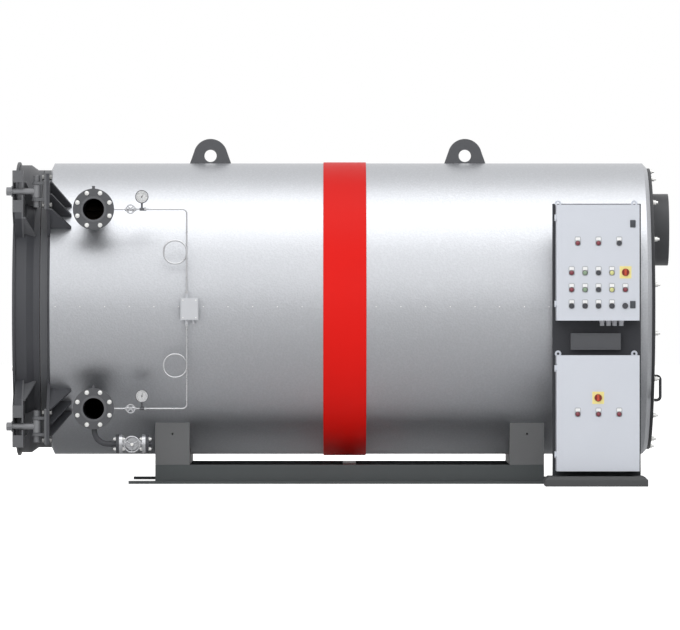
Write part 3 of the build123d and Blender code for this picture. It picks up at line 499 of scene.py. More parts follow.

# Vessel ends
# The heavy front ring and the rear flange stand out of the lagging, in the dark grey paint of all
# the boiler's own steel; the front ring takes a lighter copy of it, which paints the light on its top.
# The tube plates and tubes behind the door stay bare, with their weld beads.
vessel_paint = painted("vessel_paint", tint(68, 69, 73), wear=0.8)
# A lighter copy of the vessel paint, as painted light on the front ring and the flue spigot ring.
vessel_paint_painted_light = painted("vessel_paint_with_painted_light", tint(84, 85, 88), wear=0.8)
dressed("front_face_ring", "front_ring", vessel_paint_painted_light, "boiler", "vessel_steel", 0.002)
dressed("rear_face_ring", "rear_flange", vessel_paint, "boiler", "vessel_steel", 0.003)
furnace_z = axis_z - 0.23
furnace_r = 0.4
tube_r = 0.0508
tube_pitch = 0.17
tube_rows = ((0.52, 11), (0.685, 11), (0.85, 7))    # radius round the furnace, and how many
tube_weld_r = 0.0035
furnace_weld_r = 0.006
plate_faces = ((-1.84, -1), (1.556, 1))


def fired_steel(name, colour):
    """Bare steel on the fire side: scale, soot and straw to blue heat tints."""
    material, tree, shader, place = surface(name, Metallic=0.6)
    grain = use_group(tree, grain_group, Place=place, Speck=0.006, Blotch=0.12)
    scaled = between(tree, darker(colour, 0.5), colour, grain["Blotches"])
    feed(
        tree,
        shader,
        Base_Color=between(tree, scaled, tint(96, 74, 60), grain["Speckle"]),
        Roughness=between(tree, 0.5, 0.8, grain["Blotches"]),
    )
    relief(tree, shader, grain["Speckle"], 0.0004)
    return material


def bead(major, minor, steps, sides):
    """A weld bead round a tube that stands up through z = 0."""
    bpy.ops.mesh.primitive_torus_add(
        major_radius=major, minor_radius=minor, major_segments=steps, minor_segments=sides
    )
    return smooth(bpy.context.object, 60)


def joined(pieces):
    """Several new shapes as one."""
    bpy.ops.object.select_all(action="DESELECT")
    for piece in pieces:
        piece.select_set(True)
    bpy.context.view_layer.objects.active = pieces[0]
    bpy.ops.object.join()
    return pieces[0]


def set_out(template, places):
    """Copies of one shape at several places, as one piece. A place is a point and a way out."""
    copies = []
    for at, way in places:
        turn = Vector(way).to_track_quat("Z", "Y").to_matrix().to_4x4()
        copy = linked("copy", template.data.copy())
        copy.data.transform(Matrix.Translation(at) @ turn)
        copies.append(copy)
    bpy.data.objects.remove(template)
    return joined(copies)


fire_side = fired_steel("fire_side_steel", tint(98, 92, 90))
for name, solid in (
    ("front_plate", "front_tube_plate"),
    ("rear_plate", "rear_tube_plate"),
    ("furnace_tube", "furnace"),
    ("fire_tubes", "smoke_tubes"),
    ("vessel_shell", "pressure_shell"),
):
    dressed(name, solid, fire_side, "boiler", "vessel_steel", 0)
tube_ends = []
for plate_x, way in plate_faces:
    for row_r, count in tube_rows:
        for step in range(count):
            turn = (step - (count - 1) / 2) * tube_pitch / row_r
            centre = (plate_x, row_r * math.sin(turn), furnace_z + row_r * math.cos(turn))
            tube_ends.append((centre, (way, 0, 0)))
beads = set_out(bead(tube_r + 0.001, tube_weld_r, 32, 6), tube_ends)
finished(beads, "tube_end_welds", fire_side, "boiler", "vessel_steel")
furnace_mouth = ((plate_faces[0][0], 0, furnace_z), (-1, 0, 0))
furnace_bead = set_out(bead(furnace_r + 0.002, furnace_weld_r, 96, 8), [furnace_mouth])
finished(furnace_bead, "furnace_weld", fire_side, "boiler", "vessel_steel")

# Rear cover
# A bolted plate over the rear smokebox with two bent handles and the flue spigot welded in, held by
# studs and plated nuts.
cover_paint = painted("cover_paint", tint(58, 59, 62), roughness=0.5, wear=0.8)
dressed("rear_cover_plate", "rear_cover", cover_paint, "boiler", "vessel_steel", 0.003)
dressed("rear_handles", "rear_cover_handles", cover_paint, "boiler", "vessel_steel", 0)
# The spigot ring takes the lighter copy of the vessel paint, as painted light on its top.
dressed("flue_spigot_ring", "flue_collar", vessel_paint_painted_light, "boiler", "vessel_steel")
cover_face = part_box("rear_cover")[1].x
flue_r = 0.222
flue_z = 1.56
cover_stud_circle = 0.85
flue_bead = set_out(bead(flue_r, furnace_weld_r, 96, 8), [((cover_face, 0, flue_z), (1, 0, 0))])
finished(flue_bead, "flue_weld", cover_paint, "boiler", "vessel_steel")


def plated(name, colour, roughness):
    """Zinc or nickel plating: fine spangle and finger-dulled patches."""
    material, tree, shader, place = surface(name, Metallic=1.0)
    grain = use_group(tree, grain_group, Place=place, Speck=0.002, Blotch=0.02)
    feed(
        tree,
        shader,
        Base_Color=between(tree, darker(colour, 0.8), colour, grain["Blotches"]),
        Roughness=between(tree, roughness - 0.08, roughness + 0.1, grain["Blotches"]),
    )
    relief(tree, shader, grain["Speckle"], 0.00005)
    return material


def nut(across, height, washer_r=0.0, tip_r=0.0, tip=0.0):
    """A hexagon nut or bolt head standing on z = 0, with its washer and the stud's end."""
    washer_t = 0.12 * washer_r
    head = bar(6, across / math.sqrt(3), (0, 0, washer_t), (0, 0, washer_t + height))
    rounded(head, across * 0.04, segments=1)
    parts = [head]
    if washer_r:
        washer = bar(24, washer_r, (0, 0, 0), (0, 0, washer_t))
        parts.append(rounded(washer, washer_t * 0.25, segments=1))
    if tip:
        top = washer_t + height
        stud = bar(16, tip_r, (0, 0, top - 0.002), (0, 0, top + tip))
        parts.append(rounded(stud, tip_r * 0.18, segments=1))
    return joined(parts)


def on_circle(count, radius, middle, way):
    """Places set out on a bolt circle that faces this way, none on its upright line."""
    places = []
    for step in range(count):
        turn = (step + 0.5) * 2 * math.pi / count
        across, up = radius * math.cos(turn), radius * math.sin(turn)
        offset = (0, across, up) if way[0] else (across, 0, up)
        places.append((Vector(middle) + Vector(offset), way))
    return places


zinc = plated("zinc_plate", tint(246, 246, 244), 0.36)
cover_studs = on_circle(18, cover_stud_circle, (cover_face, 0, axis_z), (1, 0, 0))
nuts = set_out(nut(0.024, 0.016, 0.017, 0.008, 0.012), cover_studs)
finished(nuts, "rear_cover_nuts", zinc, "boiler", "zinc_steel")

# Rivets of the lagging
# Domed blind rivets hold the upper sheets down on the lower ones, all along both laps.
rivet_r = 0.0035
rivet_start = -1.79
rivet_pitch = 0.15
rivet_count = 24
rivet_level = 0.0135                # above the vessel axis, in the middle of the lap
rivet_free = ((-1.03, -0.915), (-0.18, 0.12))       # behind the transmitter and under the band
rivets = []
for side in (-1, 1):
    for step in range(rivet_count):
        x = rivet_start + step * rivet_pitch
        if any(low < x < high for low, high in rivet_free):
            continue
        out = Vector((0, side * math.sqrt(jacket_r**2 - rivet_level**2), rivet_level))
        rivets.append((Vector((x, 0, axis_z)) + out * (1 + sheet_t / jacket_r), out))
rivet = rounded(bar(12, rivet_r, (0, 0, -0.0005), (0, 0, 0.0018)), 0.001)
finished(set_out(rivet, rivets), "lagging_rivets", zinc, "boiler", "zinc_steel")

# Lifting lugs
# Flame-cut plates welded to the shell before it was lagged, each with an eye for a shackle.
lug_paint = painted("lug_paint", tint(82, 83, 86), wear=0.9)
dressed("lifting_eyes", "lifting_lugs", lug_paint, "boiler", "vessel_steel", 0.003)

# Ears, clevises and swing bolts
# Gusseted ears on the front end carry four clevises. The two far ones hinge the door, the two near
# ones hold it shut with eye bolts that swing out once their nuts are slack.
pin_at = (-1.902, 0.885, 0.714)
bolt_paint = painted("bolt_paint", tint(126, 127, 130), roughness=0.4, wear=0.6, gloss=0.5)
pin_paint = painted("pin_paint", tint(104, 105, 108), roughness=0.4, wear=0.6, gloss=0.5)
bolt_zinc = plated("weathered_zinc", tint(146, 146, 145), 0.48)
fitting_paint = painted("fitting_paint", tint(98, 99, 102), wear=0.9)
dressed("hinge_ears", "ear_brackets", vessel_paint, "boiler", "vessel_steel", 0.002)
dressed("hinge_clevises", "door_clevises", fitting_paint, "boiler", "vessel_steel", 0.003)
dressed("hinge_pins", "clevis_pins", pin_paint, "boiler", "zinc_steel", 0.002)
dressed("far_eye_bolts", "far_hinge_bolts", bolt_paint, "door", "zinc_steel")
dressed("near_eye_bolt_upper", "swing_bolt_upper", bolt_paint, "swing_bolt_upper", "zinc_steel")
dressed("near_eye_bolt_lower", "swing_bolt_lower", bolt_paint, "swing_bolt_lower", "zinc_steel")
clevis_face = -1.854
ear_back = -1.824
clevis_bolt_out = 0.032             # from the pin, outwards and up
clevis_bolt_rise = 0.084
clevis_bolts = []
for side in (-1, 1):
    for level in (-1, 1):
        for across in (-clevis_bolt_out, clevis_bolt_out):
            for rise in (-clevis_bolt_rise, clevis_bolt_rise):
                y = side * pin_at[1] + across
                z = axis_z + level * pin_at[2] + rise
                clevis_bolts.append(((clevis_face, y, z), (-1, 0, 0)))
                clevis_bolts.append(((ear_back, y, z), (1, 0, 0)))
nuts = set_out(nut(0.027, 0.012, 0.0165), clevis_bolts)
finished(nuts, "clevis_bolts", bolt_zinc, "boiler", "zinc_steel")

# Burner door
# A dished casing of rolled and flanged plate, with slotted lugs, their edges closed by narrow webs,
# and the machined burner ring. Inside is cast refractory, with a braided rope in the closing face.
dressed("door_casing_plate", "door_plate", vessel_paint, "door", "vessel_steel", 0.004)
dressed("door_skirt", "door_barrel", vessel_paint, "door", "vessel_steel")
dressed("door_bolt_lugs", "door_lugs", fitting_paint, "door", "vessel_steel", 0.002)
lug_web_x = (-2.035, -1.9915)
lug_web_t = 0.008
lug_web_line = ((0.77, 0.43), (0.93, 0.548), (0.93, 0.588))     # out from the middle, off the axis
web_half_x = (lug_web_x[1] - lug_web_x[0]) / 2
webs = []
for start, end in zip(lug_web_line, lug_web_line[1:]):
    start, end = Vector(start), Vector(end)
    middle = (start + end) / 2
    run = end - start
    places = []
    for side in (-1, 1):
        for level in (-1, 1):
            at = (lug_web_x[0] + web_half_x, side * middle.x, axis_z + level * middle.y)
            places.append((at, (0, side * run.y, -level * run.x)))
    web = brick((-web_half_x, -run.length / 2, -lug_web_t), (web_half_x, run.length / 2, 0))
    webs.append(set_out(rounded(web, 0.001), places))
finished(joined(webs), "door_lug_webs", vessel_paint, "door", "vessel_steel")
machined = plated("machined_steel", tint(150, 152, 156), 0.34)
dressed("burner_flange_ring", "burner_plate", machined, "door", "vessel_steel")
burner_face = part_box("burner_plate")[0].x
burner_circle = 0.2
burner_studs = on_circle(4, burner_circle, (burner_face, 0, furnace_z), (-1, 0, 0))
studs = set_out(nut(0.024, 0.011, 0.0155, 0.008, 0.002), burner_studs)
finished(studs, "burner_studs", zinc, "door", "zinc_steel")


def castable(name, pale, stain):
    """Cast refractory: gritty, with pinholes and brown firing stains."""
    material, tree, shader, place = surface(name)
    grain = use_group(tree, grain_group, Place=place, Speck=0.007, Blotch=0.15)
    fired = between(tree, stain, pale, grain["Blotches"])
    feed(
        tree,
        shader,
        Base_Color=between(tree, darker(stain, 0.7), fired, grain["Speckle"]),
        Roughness=between(tree, 0.85, 0.98, grain["Speckle"]),
    )
    relief(tree, shader, grain["Speckle"], 0.003)
    return material


def braided(name, colour, lay, ring_r):
    """Rope of this radius round the vessel axis, plaited with this length of lay."""
    material, tree, shader, place = surface(name, Roughness=0.95)
    split = node(tree, "SeparateXYZ", {"Vector": place}).outputs
    turn = maths(tree, "ARCTAN2", maths(tree, "SUBTRACT", split["Z"], axis_z), split["Y"])
    run = maths(tree, "MULTIPLY", turn, 2 * math.pi * ring_r / lay)
    rise = maths(tree, "MULTIPLY", split["X"], 2 * math.pi / lay)
    strands = [maths(tree, "SINE", maths(tree, way, run, rise)) for way in ("ADD", "SUBTRACT")]
    plait = maths(tree, "MAXIMUM", *strands)
    shade = node(tree, "MapRange", {0: plait, 1: -1.0, 2: 1.0}).outputs[0]
    # The grooves between the strands are painted darker, as painted shade.
    feed(tree, shader, Base_Color=between(tree, darker(colour, 0.45), colour, shade))
    relief(tree, shader, shade, 0.002)
    return material


refractory = castable("refractory", tint(205, 196, 180), tint(150, 128, 104))
dressed("refractory_lining", "door_lining", refractory, "door", "refractory", 0.006)
rope = braided("rope_fibre", tint(214, 208, 192), 0.012, 0.83)
dressed("sealing_rope", "door_gasket", rope, "door", "sealing_rope", 0.005)

# Flanged branches
# Flow above and return below, with machined raised faces, plated bolts left in their holes, and a
# socket on each rim.
oiled_steel = plated("oiled_steel", tint(112, 113, 116), 0.45)
raised_r = 0.079
raised_bore = 0.0648
branch_circle = 0.105
branch_flange_t = 0.024
for name, solid, z in (("flow_branch", "supply_nozzle", 1.675), ("return_branch", "return_nozzle", 0.465)):
    dressed(name, solid, lug_paint, "boiler", "vessel_steel", 0.002)
    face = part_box(solid)[0].y
    bolts = on_circle(8, branch_circle, (nozzle_x, face, z), (0, -1, 0))
    bolts += on_circle(8, branch_circle, (nozzle_x, face + branch_flange_t, z), (0, 1, 0))
    nuts = set_out(nut(0.022, 0.012, 0.0138, 0.007, 0.003), bolts)
    finished(nuts, name + "_bolts", zinc, "boiler", "zinc_steel")
    raised = ring(64, raised_r, raised_bore, (nozzle_x, face - 0.0015, z), (nozzle_x, face + 0.002, z))
    rounded(raised, 0.0005, segments=1)
    finished(raised, name + "_raised_face", oiled_steel, "boiler", "vessel_steel")

# Drain
# A bend from the return neck to a globe valve between flanges, with an open spoked handwheel.
drain_y = -0.9
drain_z = 0.25
drain_circle = 0.0425
valve_flange_t = 0.02
pipe_flange_t = 0.0193              # with the joint between the two
valve_metal = plated("valve_metal", tint(196, 197, 200), 0.3)
dressed("drain_bend", "drain_pipe", vessel_paint, "boiler", "vessel_steel", 0.001)
dressed("drain_stub", "drain_outlet", vessel_paint, "boiler", "vessel_steel", 0.001)
dressed("drain_globe_valve", "drain_valve", valve_metal, "boiler", "valve_metal")
valve_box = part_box("drain_valve")
drain_bolts = []
for x, way in (
    (valve_box[0].x + valve_flange_t, 1),
    (valve_box[0].x - pipe_flange_t, -1),
    (valve_box[1].x - valve_flange_t, -1),
    (valve_box[1].x + pipe_flange_t, 1),
):
    drain_bolts += on_circle(4, drain_circle, (x, drain_y, drain_z), (way, 0, 0))
nuts = set_out(nut(0.019, 0.01, 0.012, 0.006, 0.005), drain_bolts)
finished(nuts, "drain_flange_bolts", zinc, "boiler", "zinc_steel")
wheel_at = Vector((-1.32, -1.03, drain_z))
wheel_r = 0.047
wheel_bar_r = 0.005
wheel_hub_r = 0.012
wheel_hub_half = 0.009
spoke_count = 3
spoke_r = 0.0045
spoke_taper = 0.75


def handwheel():
    """Round rim, boss and three tapered spokes, lying on z = 0, one spoke straight down."""
    boss = rounded(bar(32, wheel_hub_r, (0, 0, -wheel_hub_half), (0, 0, wheel_hub_half)), 0.002)
    parts = [bead(wheel_r, wheel_bar_r, 64, 16), boss]
    for step in range(spoke_count):
        turn = math.radians(-90 + 360 * step / spoke_count)
        out = Vector((math.cos(turn), math.sin(turn), 0))
        spoke = bar(12, spoke_r, out * (wheel_hub_r - 0.003), out * wheel_r)
        pick(spoke, "vertices", lambda vertex: vertex.co.length > wheel_r / 2)
        bpy.ops.transform.resize(value=[spoke_taper] * 3, center_override=tuple(out * wheel_r))
        done()
        parts.append(smooth(spoke))
    return joined(parts)


wheel = set_out(handwheel(), [(wheel_at, (0, -1, 0))])
finished(wheel, "drain_wheel", valve_metal, "drain_handwheel", "valve_metal", "drain_handwheel")
wheel_nut = set_out(nut(0.019, 0.007), [(wheel_at - Vector((0, wheel_hub_half, 0)), (0, -1, 0))])
finished(wheel_nut, "drain_wheel_nut", zinc, "drain_handwheel", "zinc_steel")

# Impulse lines
# Thin stainless tube from both necks to a pressure transmitter, with a water loop on each, a cock
# and a gauge on each level run, and hexagon compression nuts at the joints.
line_y = -0.925
cock_x = -1.33
gauge_x = -1.262
joints_x = (nozzle_x + 0.074, cock_x - 0.034, cock_x + 0.022, gauge_x + 0.014)
fitting_at = (-0.99, -0.937)
fitting_rise = 0.094
stainless = plated("stainless_tube", tint(205, 206, 208), 0.28)
case_steel = plated("case_steel", tint(112, 113, 116), 0.45)
dressed("impulse_lines", "impulse_pipes", stainless, "boiler", "stainless_tube", 0)
dressed("isolating_cocks", "gauge_valves", valve_metal, "boiler", "valve_metal", 0.001)
dressed("gauge_cases", "pressure_gauges", case_steel, "boiler", "stainless_tube", 0.001)
line_nuts = []
for z in nozzle_levels:
    for x in joints_x:
        line_nuts.append(((x, line_y, z), (1, 0, 0)))
for side in (-1, 1):
    line_nuts.append(((*fitting_at, axis_z + side * fitting_rise), (0, 0, side)))
nuts = set_out(nut(0.02, 0.012), line_nuts)
finished(nuts, "compression_nuts", stainless, "boiler", "stainless_tube")

# Gauges
# White enamelled dials in dull steel cases, with a printed scale, a dark pointer and a glass front.
gauge_rise = 0.076
dial_y = -0.9402
dial_r = 0.0358
glass_y = -0.9425
scale_r = 0.0305
scale_start = -45
scale_span = 270
scale_marks = 25
long_mark_every = 4
long_mark = (0.006, 0.0007)         # length and half width
short_mark = (0.0035, 0.0004)
pointer_turns = (60, 75)


def moulded(name, colour, roughness=0.4):
    """Moulded plastic or enamel: one colour, slightly mottled, with a fine grain."""
    material, tree, shader, place = surface(name)
    grain = use_group(tree, grain_group, Place=place, Speck=0.0008, Blotch=0.02)
    feed(
        tree,
        shader,
        Base_Color=between(tree, darker(colour, 0.94), darker(colour, 1.04), grain["Blotches"]),
        Roughness=between(tree, roughness - 0.06, roughness + 0.06, grain["Blotches"]),
    )
    relief(tree, shader, grain["Speckle"], 0.00003)
    return material


def dial_marks():
    """Long and short strokes of a round scale, lying on z = 0, open at the bottom."""
    marks = []
    for step in range(scale_marks):
        turn = math.radians(scale_start + step * scale_span / (scale_marks - 1))
        length, half = short_mark if step % long_mark_every else long_mark
        mark = brick((scale_r - length, -half, 0), (scale_r, half, 0.0004))
        mark.data.transform(Matrix.Rotation(turn, 4, "Z"))
        marks.append(mark)
    return joined(marks)


def pointer(turn):
    """A tapered pointer on a round boss, lying on z = 0."""
    hand = brick((-0.009, -0.0016, 0.0006), (0.026, 0.0016, 0.0012))
    pick(hand, "vertices", lambda vertex: vertex.co.x > 0.02)
    bpy.ops.transform.resize(value=(1, 0.25, 1), center_override=(0.026, 0, 0))
    done()
    hand.data.transform(Matrix.Rotation(math.radians(turn), 4, "Z"))
    boss = rounded(bar(20, 0.0042, (0, 0, 0), (0, 0, 0.002)), 0.0006)
    return joined([hand, boss])


enamel = moulded("dial_enamel", tint(236, 237, 238), 0.35)
ink = moulded("scale_ink", tint(96, 97, 100), 0.5)
pointer_ink = moulded("pointer_ink", tint(62, 62, 65), 0.5)
glass, tree, shader, place = surface("gauge_glass", Transmission_Weight=1.0, IOR=1.45)
smears = use_group(tree, grain_group, Place=place, Speck=0.001, Blotch=0.01)["Blotches"]
feed(tree, shader, Roughness=between(tree, 0.02, 0.08, smears))
dial_places = [((gauge_x, dial_y, z + gauge_rise), (0, -1, 0)) for z in nozzle_levels]
pane_places = [((gauge_x, glass_y, z + gauge_rise), (0, -1, 0)) for z in nozzle_levels]
dials = set_out(bar(64, dial_r, (0, 0, -0.0015), (0, 0, 0)), dial_places)
finished(dials, "gauge_dials", enamel, "boiler", "stainless_tube")
finished(set_out(dial_marks(), dial_places), "gauge_scales", ink, "boiler", "control_plastic")
hands = [set_out(pointer(turn), [place]) for turn, place in zip(pointer_turns, dial_places)]
finished(joined(hands), "gauge_pointers", pointer_ink, "boiler", "control_plastic")
pane = rounded(bar(64, dial_r, (0, 0, -0.0006), (0, 0, 0.0006)), 0.0002, segments=1)
finished(set_out(pane, pane_places), "gauge_panes", glass, "boiler", "stainless_tube")

# Pressure transmitter
# A light grey cast case on a bracket, with a screwed lid and a cable gland below.
box_paint = painted("instrument_box", tint(196, 198, 202), roughness=0.42, wear=0.1)
dressed("pressure_transmitter", "transmitter_box", box_paint, "boiler", "control_plastic", 0.004)
lid_low = Vector((-1.021, -0.978, axis_z - 0.062))
lid_high = Vector((-0.925, -0.973, axis_z + 0.062))
screw_inset = 0.009
lid = rounded(brick(lid_low, lid_high), 0.0018)
finished(lid, "transmitter_lid", box_paint, "boiler", "control_plastic")
screws = []
for x in (lid_low.x + screw_inset, lid_high.x - screw_inset):
    for z in (lid_low.z + screw_inset, lid_high.z - screw_inset):
        screws.append(((x, lid_low.y, z), (0, -1, 0)))
screw = rounded(bar(16, 0.004, (0, 0, -0.001), (0, 0, 0.0018)), 0.0007)
finished(set_out(screw, screws), "transmitter_screws", zinc, "boiler", "zinc_steel")

# Skid
# Two channel beams on sole plates with cross members, and two box saddles that pass the lagging and
# carry the shell, all welded and painted dark grey.
skid_paint = painted("skid_paint", tint(76, 80, 81), roughness=0.5, wear=0.7, grime=0.12)
saddle_paint = painted("saddle_paint", tint(106, 107, 108), roughness=0.5, wear=0.7, grime=0.12)
for name, solid, paint in (
    ("skid_channels", "skid_beams", skid_paint),
    ("skid_cross_beams", "skid_cross_members", skid_paint),
    ("skid_sole_plates", "sole_plates", skid_paint),
    ("vessel_saddles", "saddles", saddle_paint),
):
    dressed(name, solid, paint, "boiler", "skid_paint", 0.002)

# Cabinets
# Two folded sheet boxes in light grey powder coat on a dark stand, with a terminal box between
# them, and doors whose stiffened rim shows as a fine line all round.
cabinet_coat = painted("cabinet_coat", tint(207, 211, 219), roughness=0.42, wear=0.05, grime=0.03)
stand_paint = painted("stand_paint", tint(54, 55, 59), roughness=0.55, wear=0.4)
plinth_paint = painted("plinth_paint", tint(76, 77, 78), roughness=0.55, wear=0.7, grime=0.12)


def fine_line(inset, width, depth):
    """A way to press a fine V-shaped line into a piece's front face, this far in from its edge."""

    def press(piece):
        front = min(vertex.co.y for vertex in piece.data.vertices)
        pick(piece, "faces", lambda face: face.normal.y < -0.99 and face.center.y < front + 0.0005)
        bpy.ops.mesh.inset(thickness=inset)
        bpy.ops.mesh.inset(thickness=width / 2, depth=-depth)
        bpy.ops.mesh.inset(thickness=width / 2, depth=depth)
        done()

    return press


door_line = fine_line(0.029, 0.003, 0.001)
terminal_line = fine_line(0.01, 0.002, 0.001)
for level in ("upper", "lower"):
    door = f"{level}_cabinet_door"
    dressed(f"control_cabinet_{level}", f"{level}_cabinet", cabinet_coat, "boiler", "cabinet_paint", 0.001)
    dressed(f"control_door_{level}", door, cabinet_coat, door, "cabinet_paint", 0.0015, door_line)
dressed("cabinet_stand_frame", "cabinet_stand", stand_paint, "boiler", "skid_paint", 0.002)
dressed("cabinet_base", "cabinet_plinth", plinth_paint, "boiler", "skid_paint", 0.002)
terminal_coat = painted("terminal_coat", tint(90, 91, 94), roughness=0.5, wear=0.2)
dressed("terminal_case", "terminal_box", terminal_coat, "boiler", "control_plastic", 0.003, terminal_line)
gland_plastic = moulded("gland_plastic", tint(172, 173, 177), 0.5)
dressed("gland_row", "cable_glands", gland_plastic, "boiler", "control_plastic", 0.0008)

# Switchgear
# Plated mounting plates inside both cabinets, with ducts and two rails of narrow switching devices.
dressed("switchgear_plates", "mounting_plates", zinc, "boiler", "zinc_steel", 0)
plate_face = -0.983
rail_span = (1.3, 1.7)
rail_half = 0.0175
rail_t = 0.0075
rail_lip = 0.005
rail_groove = 0.0065
duct_span = (1.285, 1.715)
duct_half = 0.02
duct_depth = 0.06
cabinet_feet = (1.0, 0.09)          # heights of the upper and the lower one
rail_levels = (0.2, 0.45)
duct_levels = (0.075, 0.325, 0.575)
device_first = 0.025                # from the end of the rail
device_back = 0.0078                # just clear of the rail
device_pitch = 0.018
device_count = 20
device_gap_every = 7
grey_plastic = moulded("device_plastic", tint(186, 188, 190))
duct_plastic = moulded("duct_plastic", tint(150, 153, 157), 0.5)
black_plastic = moulded("black_plastic", tint(64, 65, 71))


def device():
    """A narrow circuit breaker standing on z = 0: deep body, raised middle."""
    body = rounded(brick((-0.0086, -0.042, 0), (0.0086, 0.042, 0.044)), 0.0008, segments=1)
    step = rounded(brick((-0.0086, -0.0225, 0.04), (0.0086, 0.0225, 0.062)), 0.0008, segments=1)
    return joined([body, step])


rails = []
ducts = []
devices = []
for foot in cabinet_feet:
    for level in rail_levels:
        z = foot + level
        low = (rail_span[0], plate_face - rail_t, z - rail_half)
        rail = brick(low, (rail_span[1], plate_face, z + rail_half))
        pick(rail, "faces", lambda face: face.normal.y < -0.99)
        bpy.ops.mesh.inset(thickness=rail_lip)
        bpy.ops.mesh.inset(thickness=0.0005, depth=-rail_groove)
        done()
        rails.append(rail)
        for step in range(device_count):
            if step % device_gap_every == device_gap_every - 1:
                continue
            x = rail_span[0] + device_first + step * device_pitch
            devices.append(((x, plate_face - device_back, z), (0, -1, 0)))
    for level in duct_levels:
        z = foot + level
        low = (duct_span[0], plate_face - duct_depth, z - duct_half)
        ducts.append(rounded(brick(low, (duct_span[1], plate_face, z + duct_half)), 0.0015))
finished(joined(rails), "device_rails", zinc, "boiler", "zinc_steel")
finished(joined(ducts), "wiring_ducts", duct_plastic, "boiler", "control_plastic")
finished(set_out(device(), devices), "circuit_breakers", grey_plastic, "boiler", "control_plastic")
toggle = rounded(brick((-0.004, -0.006, 0.061), (0.004, 0.007, 0.069)), 0.001, segments=1)
finished(set_out(toggle, devices), "breaker_toggles", black_plastic, "boiler", "control_plastic")

# Door controls
# Lamps, push buttons and selectors stand in rounded holders under plain white legends, with their
# contact blocks behind the door. Red rotary main switches sit on yellow plates.
door_face = -1.181
door_sheet = 0.002
door_middle = 1.5
wide_pitch = 0.125
narrow_pitch = 0.081
lens_drop = 0.0115                  # lens centre below the middle of its holder
legend_rise = 0.0135                # legend above it
lens_r = 0.0138
selector_r = 0.0168
collar_top = 0.006
upper_rows = (
    (1.479, wide_pitch, {"red": (-1, 0), "black": (1,)}),
    (1.3, narrow_pitch, {"red": (-2,), "green": (-1,), "black": (0,), "yellow": (1,)}),
    (1.198, narrow_pitch, {"red": (-2, 2), "green": (-1,), "black": (0,), "yellow": (1,)}),
    (1.1, narrow_pitch, {"selector": (-2, -1, 0, 1)}),
)
lower_rows = ((0.447, wide_pitch, {"red": (-1, 0, 1)}),)
main_switches = {"upper": (1.663, 1.291), "lower": (1.498, 0.534)}
round_knob_at = (1.661, 1.089)
lock_places = ((1.707, 1.584), (1.707, 1.096))


def lens(name, colour):
    """Coloured lamp cover: glossy, ribbed inside in small cells."""
    material, tree, shader, place = surface(name, Coat_Weight=0.6, Coat_Roughness=0.1)
    cells = node(tree, "TexVoronoi", {"Vector": place, "Scale": 500}).outputs["Distance"]
    # The colour follows the cells: darker in their hollows and lighter on their ridges, as painted shade.
    feed(
        tree,
        shader,
        Base_Color=between(tree, darker(colour, 0.7), darker(colour, 1.1), cells),
        Roughness=between(tree, 0.2, 0.35, cells),
    )
    relief(tree, shader, cells, 0.0002)
    return material


def plate(half_w, half_h, thick, corner):
    """A flat plate on z = 0 with rounded corners."""
    made = brick((-half_w, -half_h, 0), (half_w, half_h, thick))

    def upright(edge):
        ends = [made.data.vertices[index].co for index in edge.vertices]
        return (ends[0].xy - ends[1].xy).length < 0.0001

    pick(made, "edges", upright)
    bpy.ops.mesh.bevel(offset=corner, segments=4)
    done()
    return rounded(made, 0.0005)


def lamp_dome():
    """The domed front of a lamp, cut flat where it meets its collar."""
    bpy.ops.mesh.primitive_uv_sphere_add(
        segments=28, ring_count=14, radius=1, location=(0, -lens_drop, 0.003), scale=(lens_r, lens_r, 0.0105)
    )
    dome = bpy.context.object
    bpy.ops.object.transform_apply()
    pick(dome, "faces", lambda face: True)
    bpy.ops.mesh.bisect(plane_co=(0, 0, 0.003), plane_no=(0, 0, 1), use_fill=True, clear_inner=True)
    done()
    return smooth(dome)


def push_button():
    cap = bar(28, lens_r - 0.0006, (0, -lens_drop, 0.0015), (0, -lens_drop, 0.0095))
    return rounded(cap, 0.0015)


def selector():
    """A turning disc with an upright grip."""
    disc = rounded(bar(32, selector_r, (0, -lens_drop, 0.001), (0, -lens_drop, 0.0085)), 0.0012)
    reach = selector_r - 0.001
    grip = brick((-0.0045, -lens_drop - reach, 0.0065), (0.0045, -lens_drop + reach, 0.016))
    return joined([disc, rounded(grip, 0.0018)])


def main_plate():
    """The back plate of a rotary main switch."""
    return plate(0.0355, 0.037, 0.002, 0.003)


def main_knob():
    """The round body of a rotary main switch."""
    return rounded(bar(40, 0.0225, (0, 0, 0.0015), (0, 0, 0.014)), 0.003)


def main_grip():
    """The raised grip across a main switch."""
    return rounded(brick((-0.0073, -0.0198, 0.012), (0.0073, 0.0198, 0.026)), 0.003)


def lock():
    """A quarter-turn lock: its plate, folding key cover and barrel."""
    base = plate(0.0165, 0.0225, 0.0045, 0.003)
    cover = rounded(brick((-0.0115, -0.008, 0.004), (0.0115, 0.0185, 0.0078)), 0.0015)
    barrel = rounded(bar(20, 0.0045, (0, -0.0155, 0.004), (0, -0.0155, 0.0068)), 0.0008)
    return joined([base, cover, barrel])


def round_knob():
    """A round knob with a raised index."""
    knob = rounded(bar(20, 0.018, (0, 0, 0), (0, 0, 0.013)), 0.002)
    index = rounded(brick((-0.0012, 0.002, 0.012), (0.0012, 0.016, 0.014)), 0.0004, segments=1)
    return joined([knob, index])


def collar():
    start, end = (0, -lens_drop, 0.001), (0, -lens_drop, collar_top)
    return rounded(ring(28, lens_r + 0.0024, lens_r - 0.0002, start, end), 0.0008)


def holder():
    """The round-cornered holder that a control and its legend share."""
    return plate(0.0185, 0.0285, 0.0016, 0.009)


def legend():
    """The white insert above a control."""
    insert = plate(0.0138, 0.0092, 0.0028, 0.0035)
    insert.data.transform(Matrix.Translation((0, legend_rise, 0)))
    return insert


def contact_block():
    block = brick((-0.014, -lens_drop - 0.017, -0.046), (0.014, -lens_drop + 0.017, -door_sheet))
    return rounded(block, 0.0015)


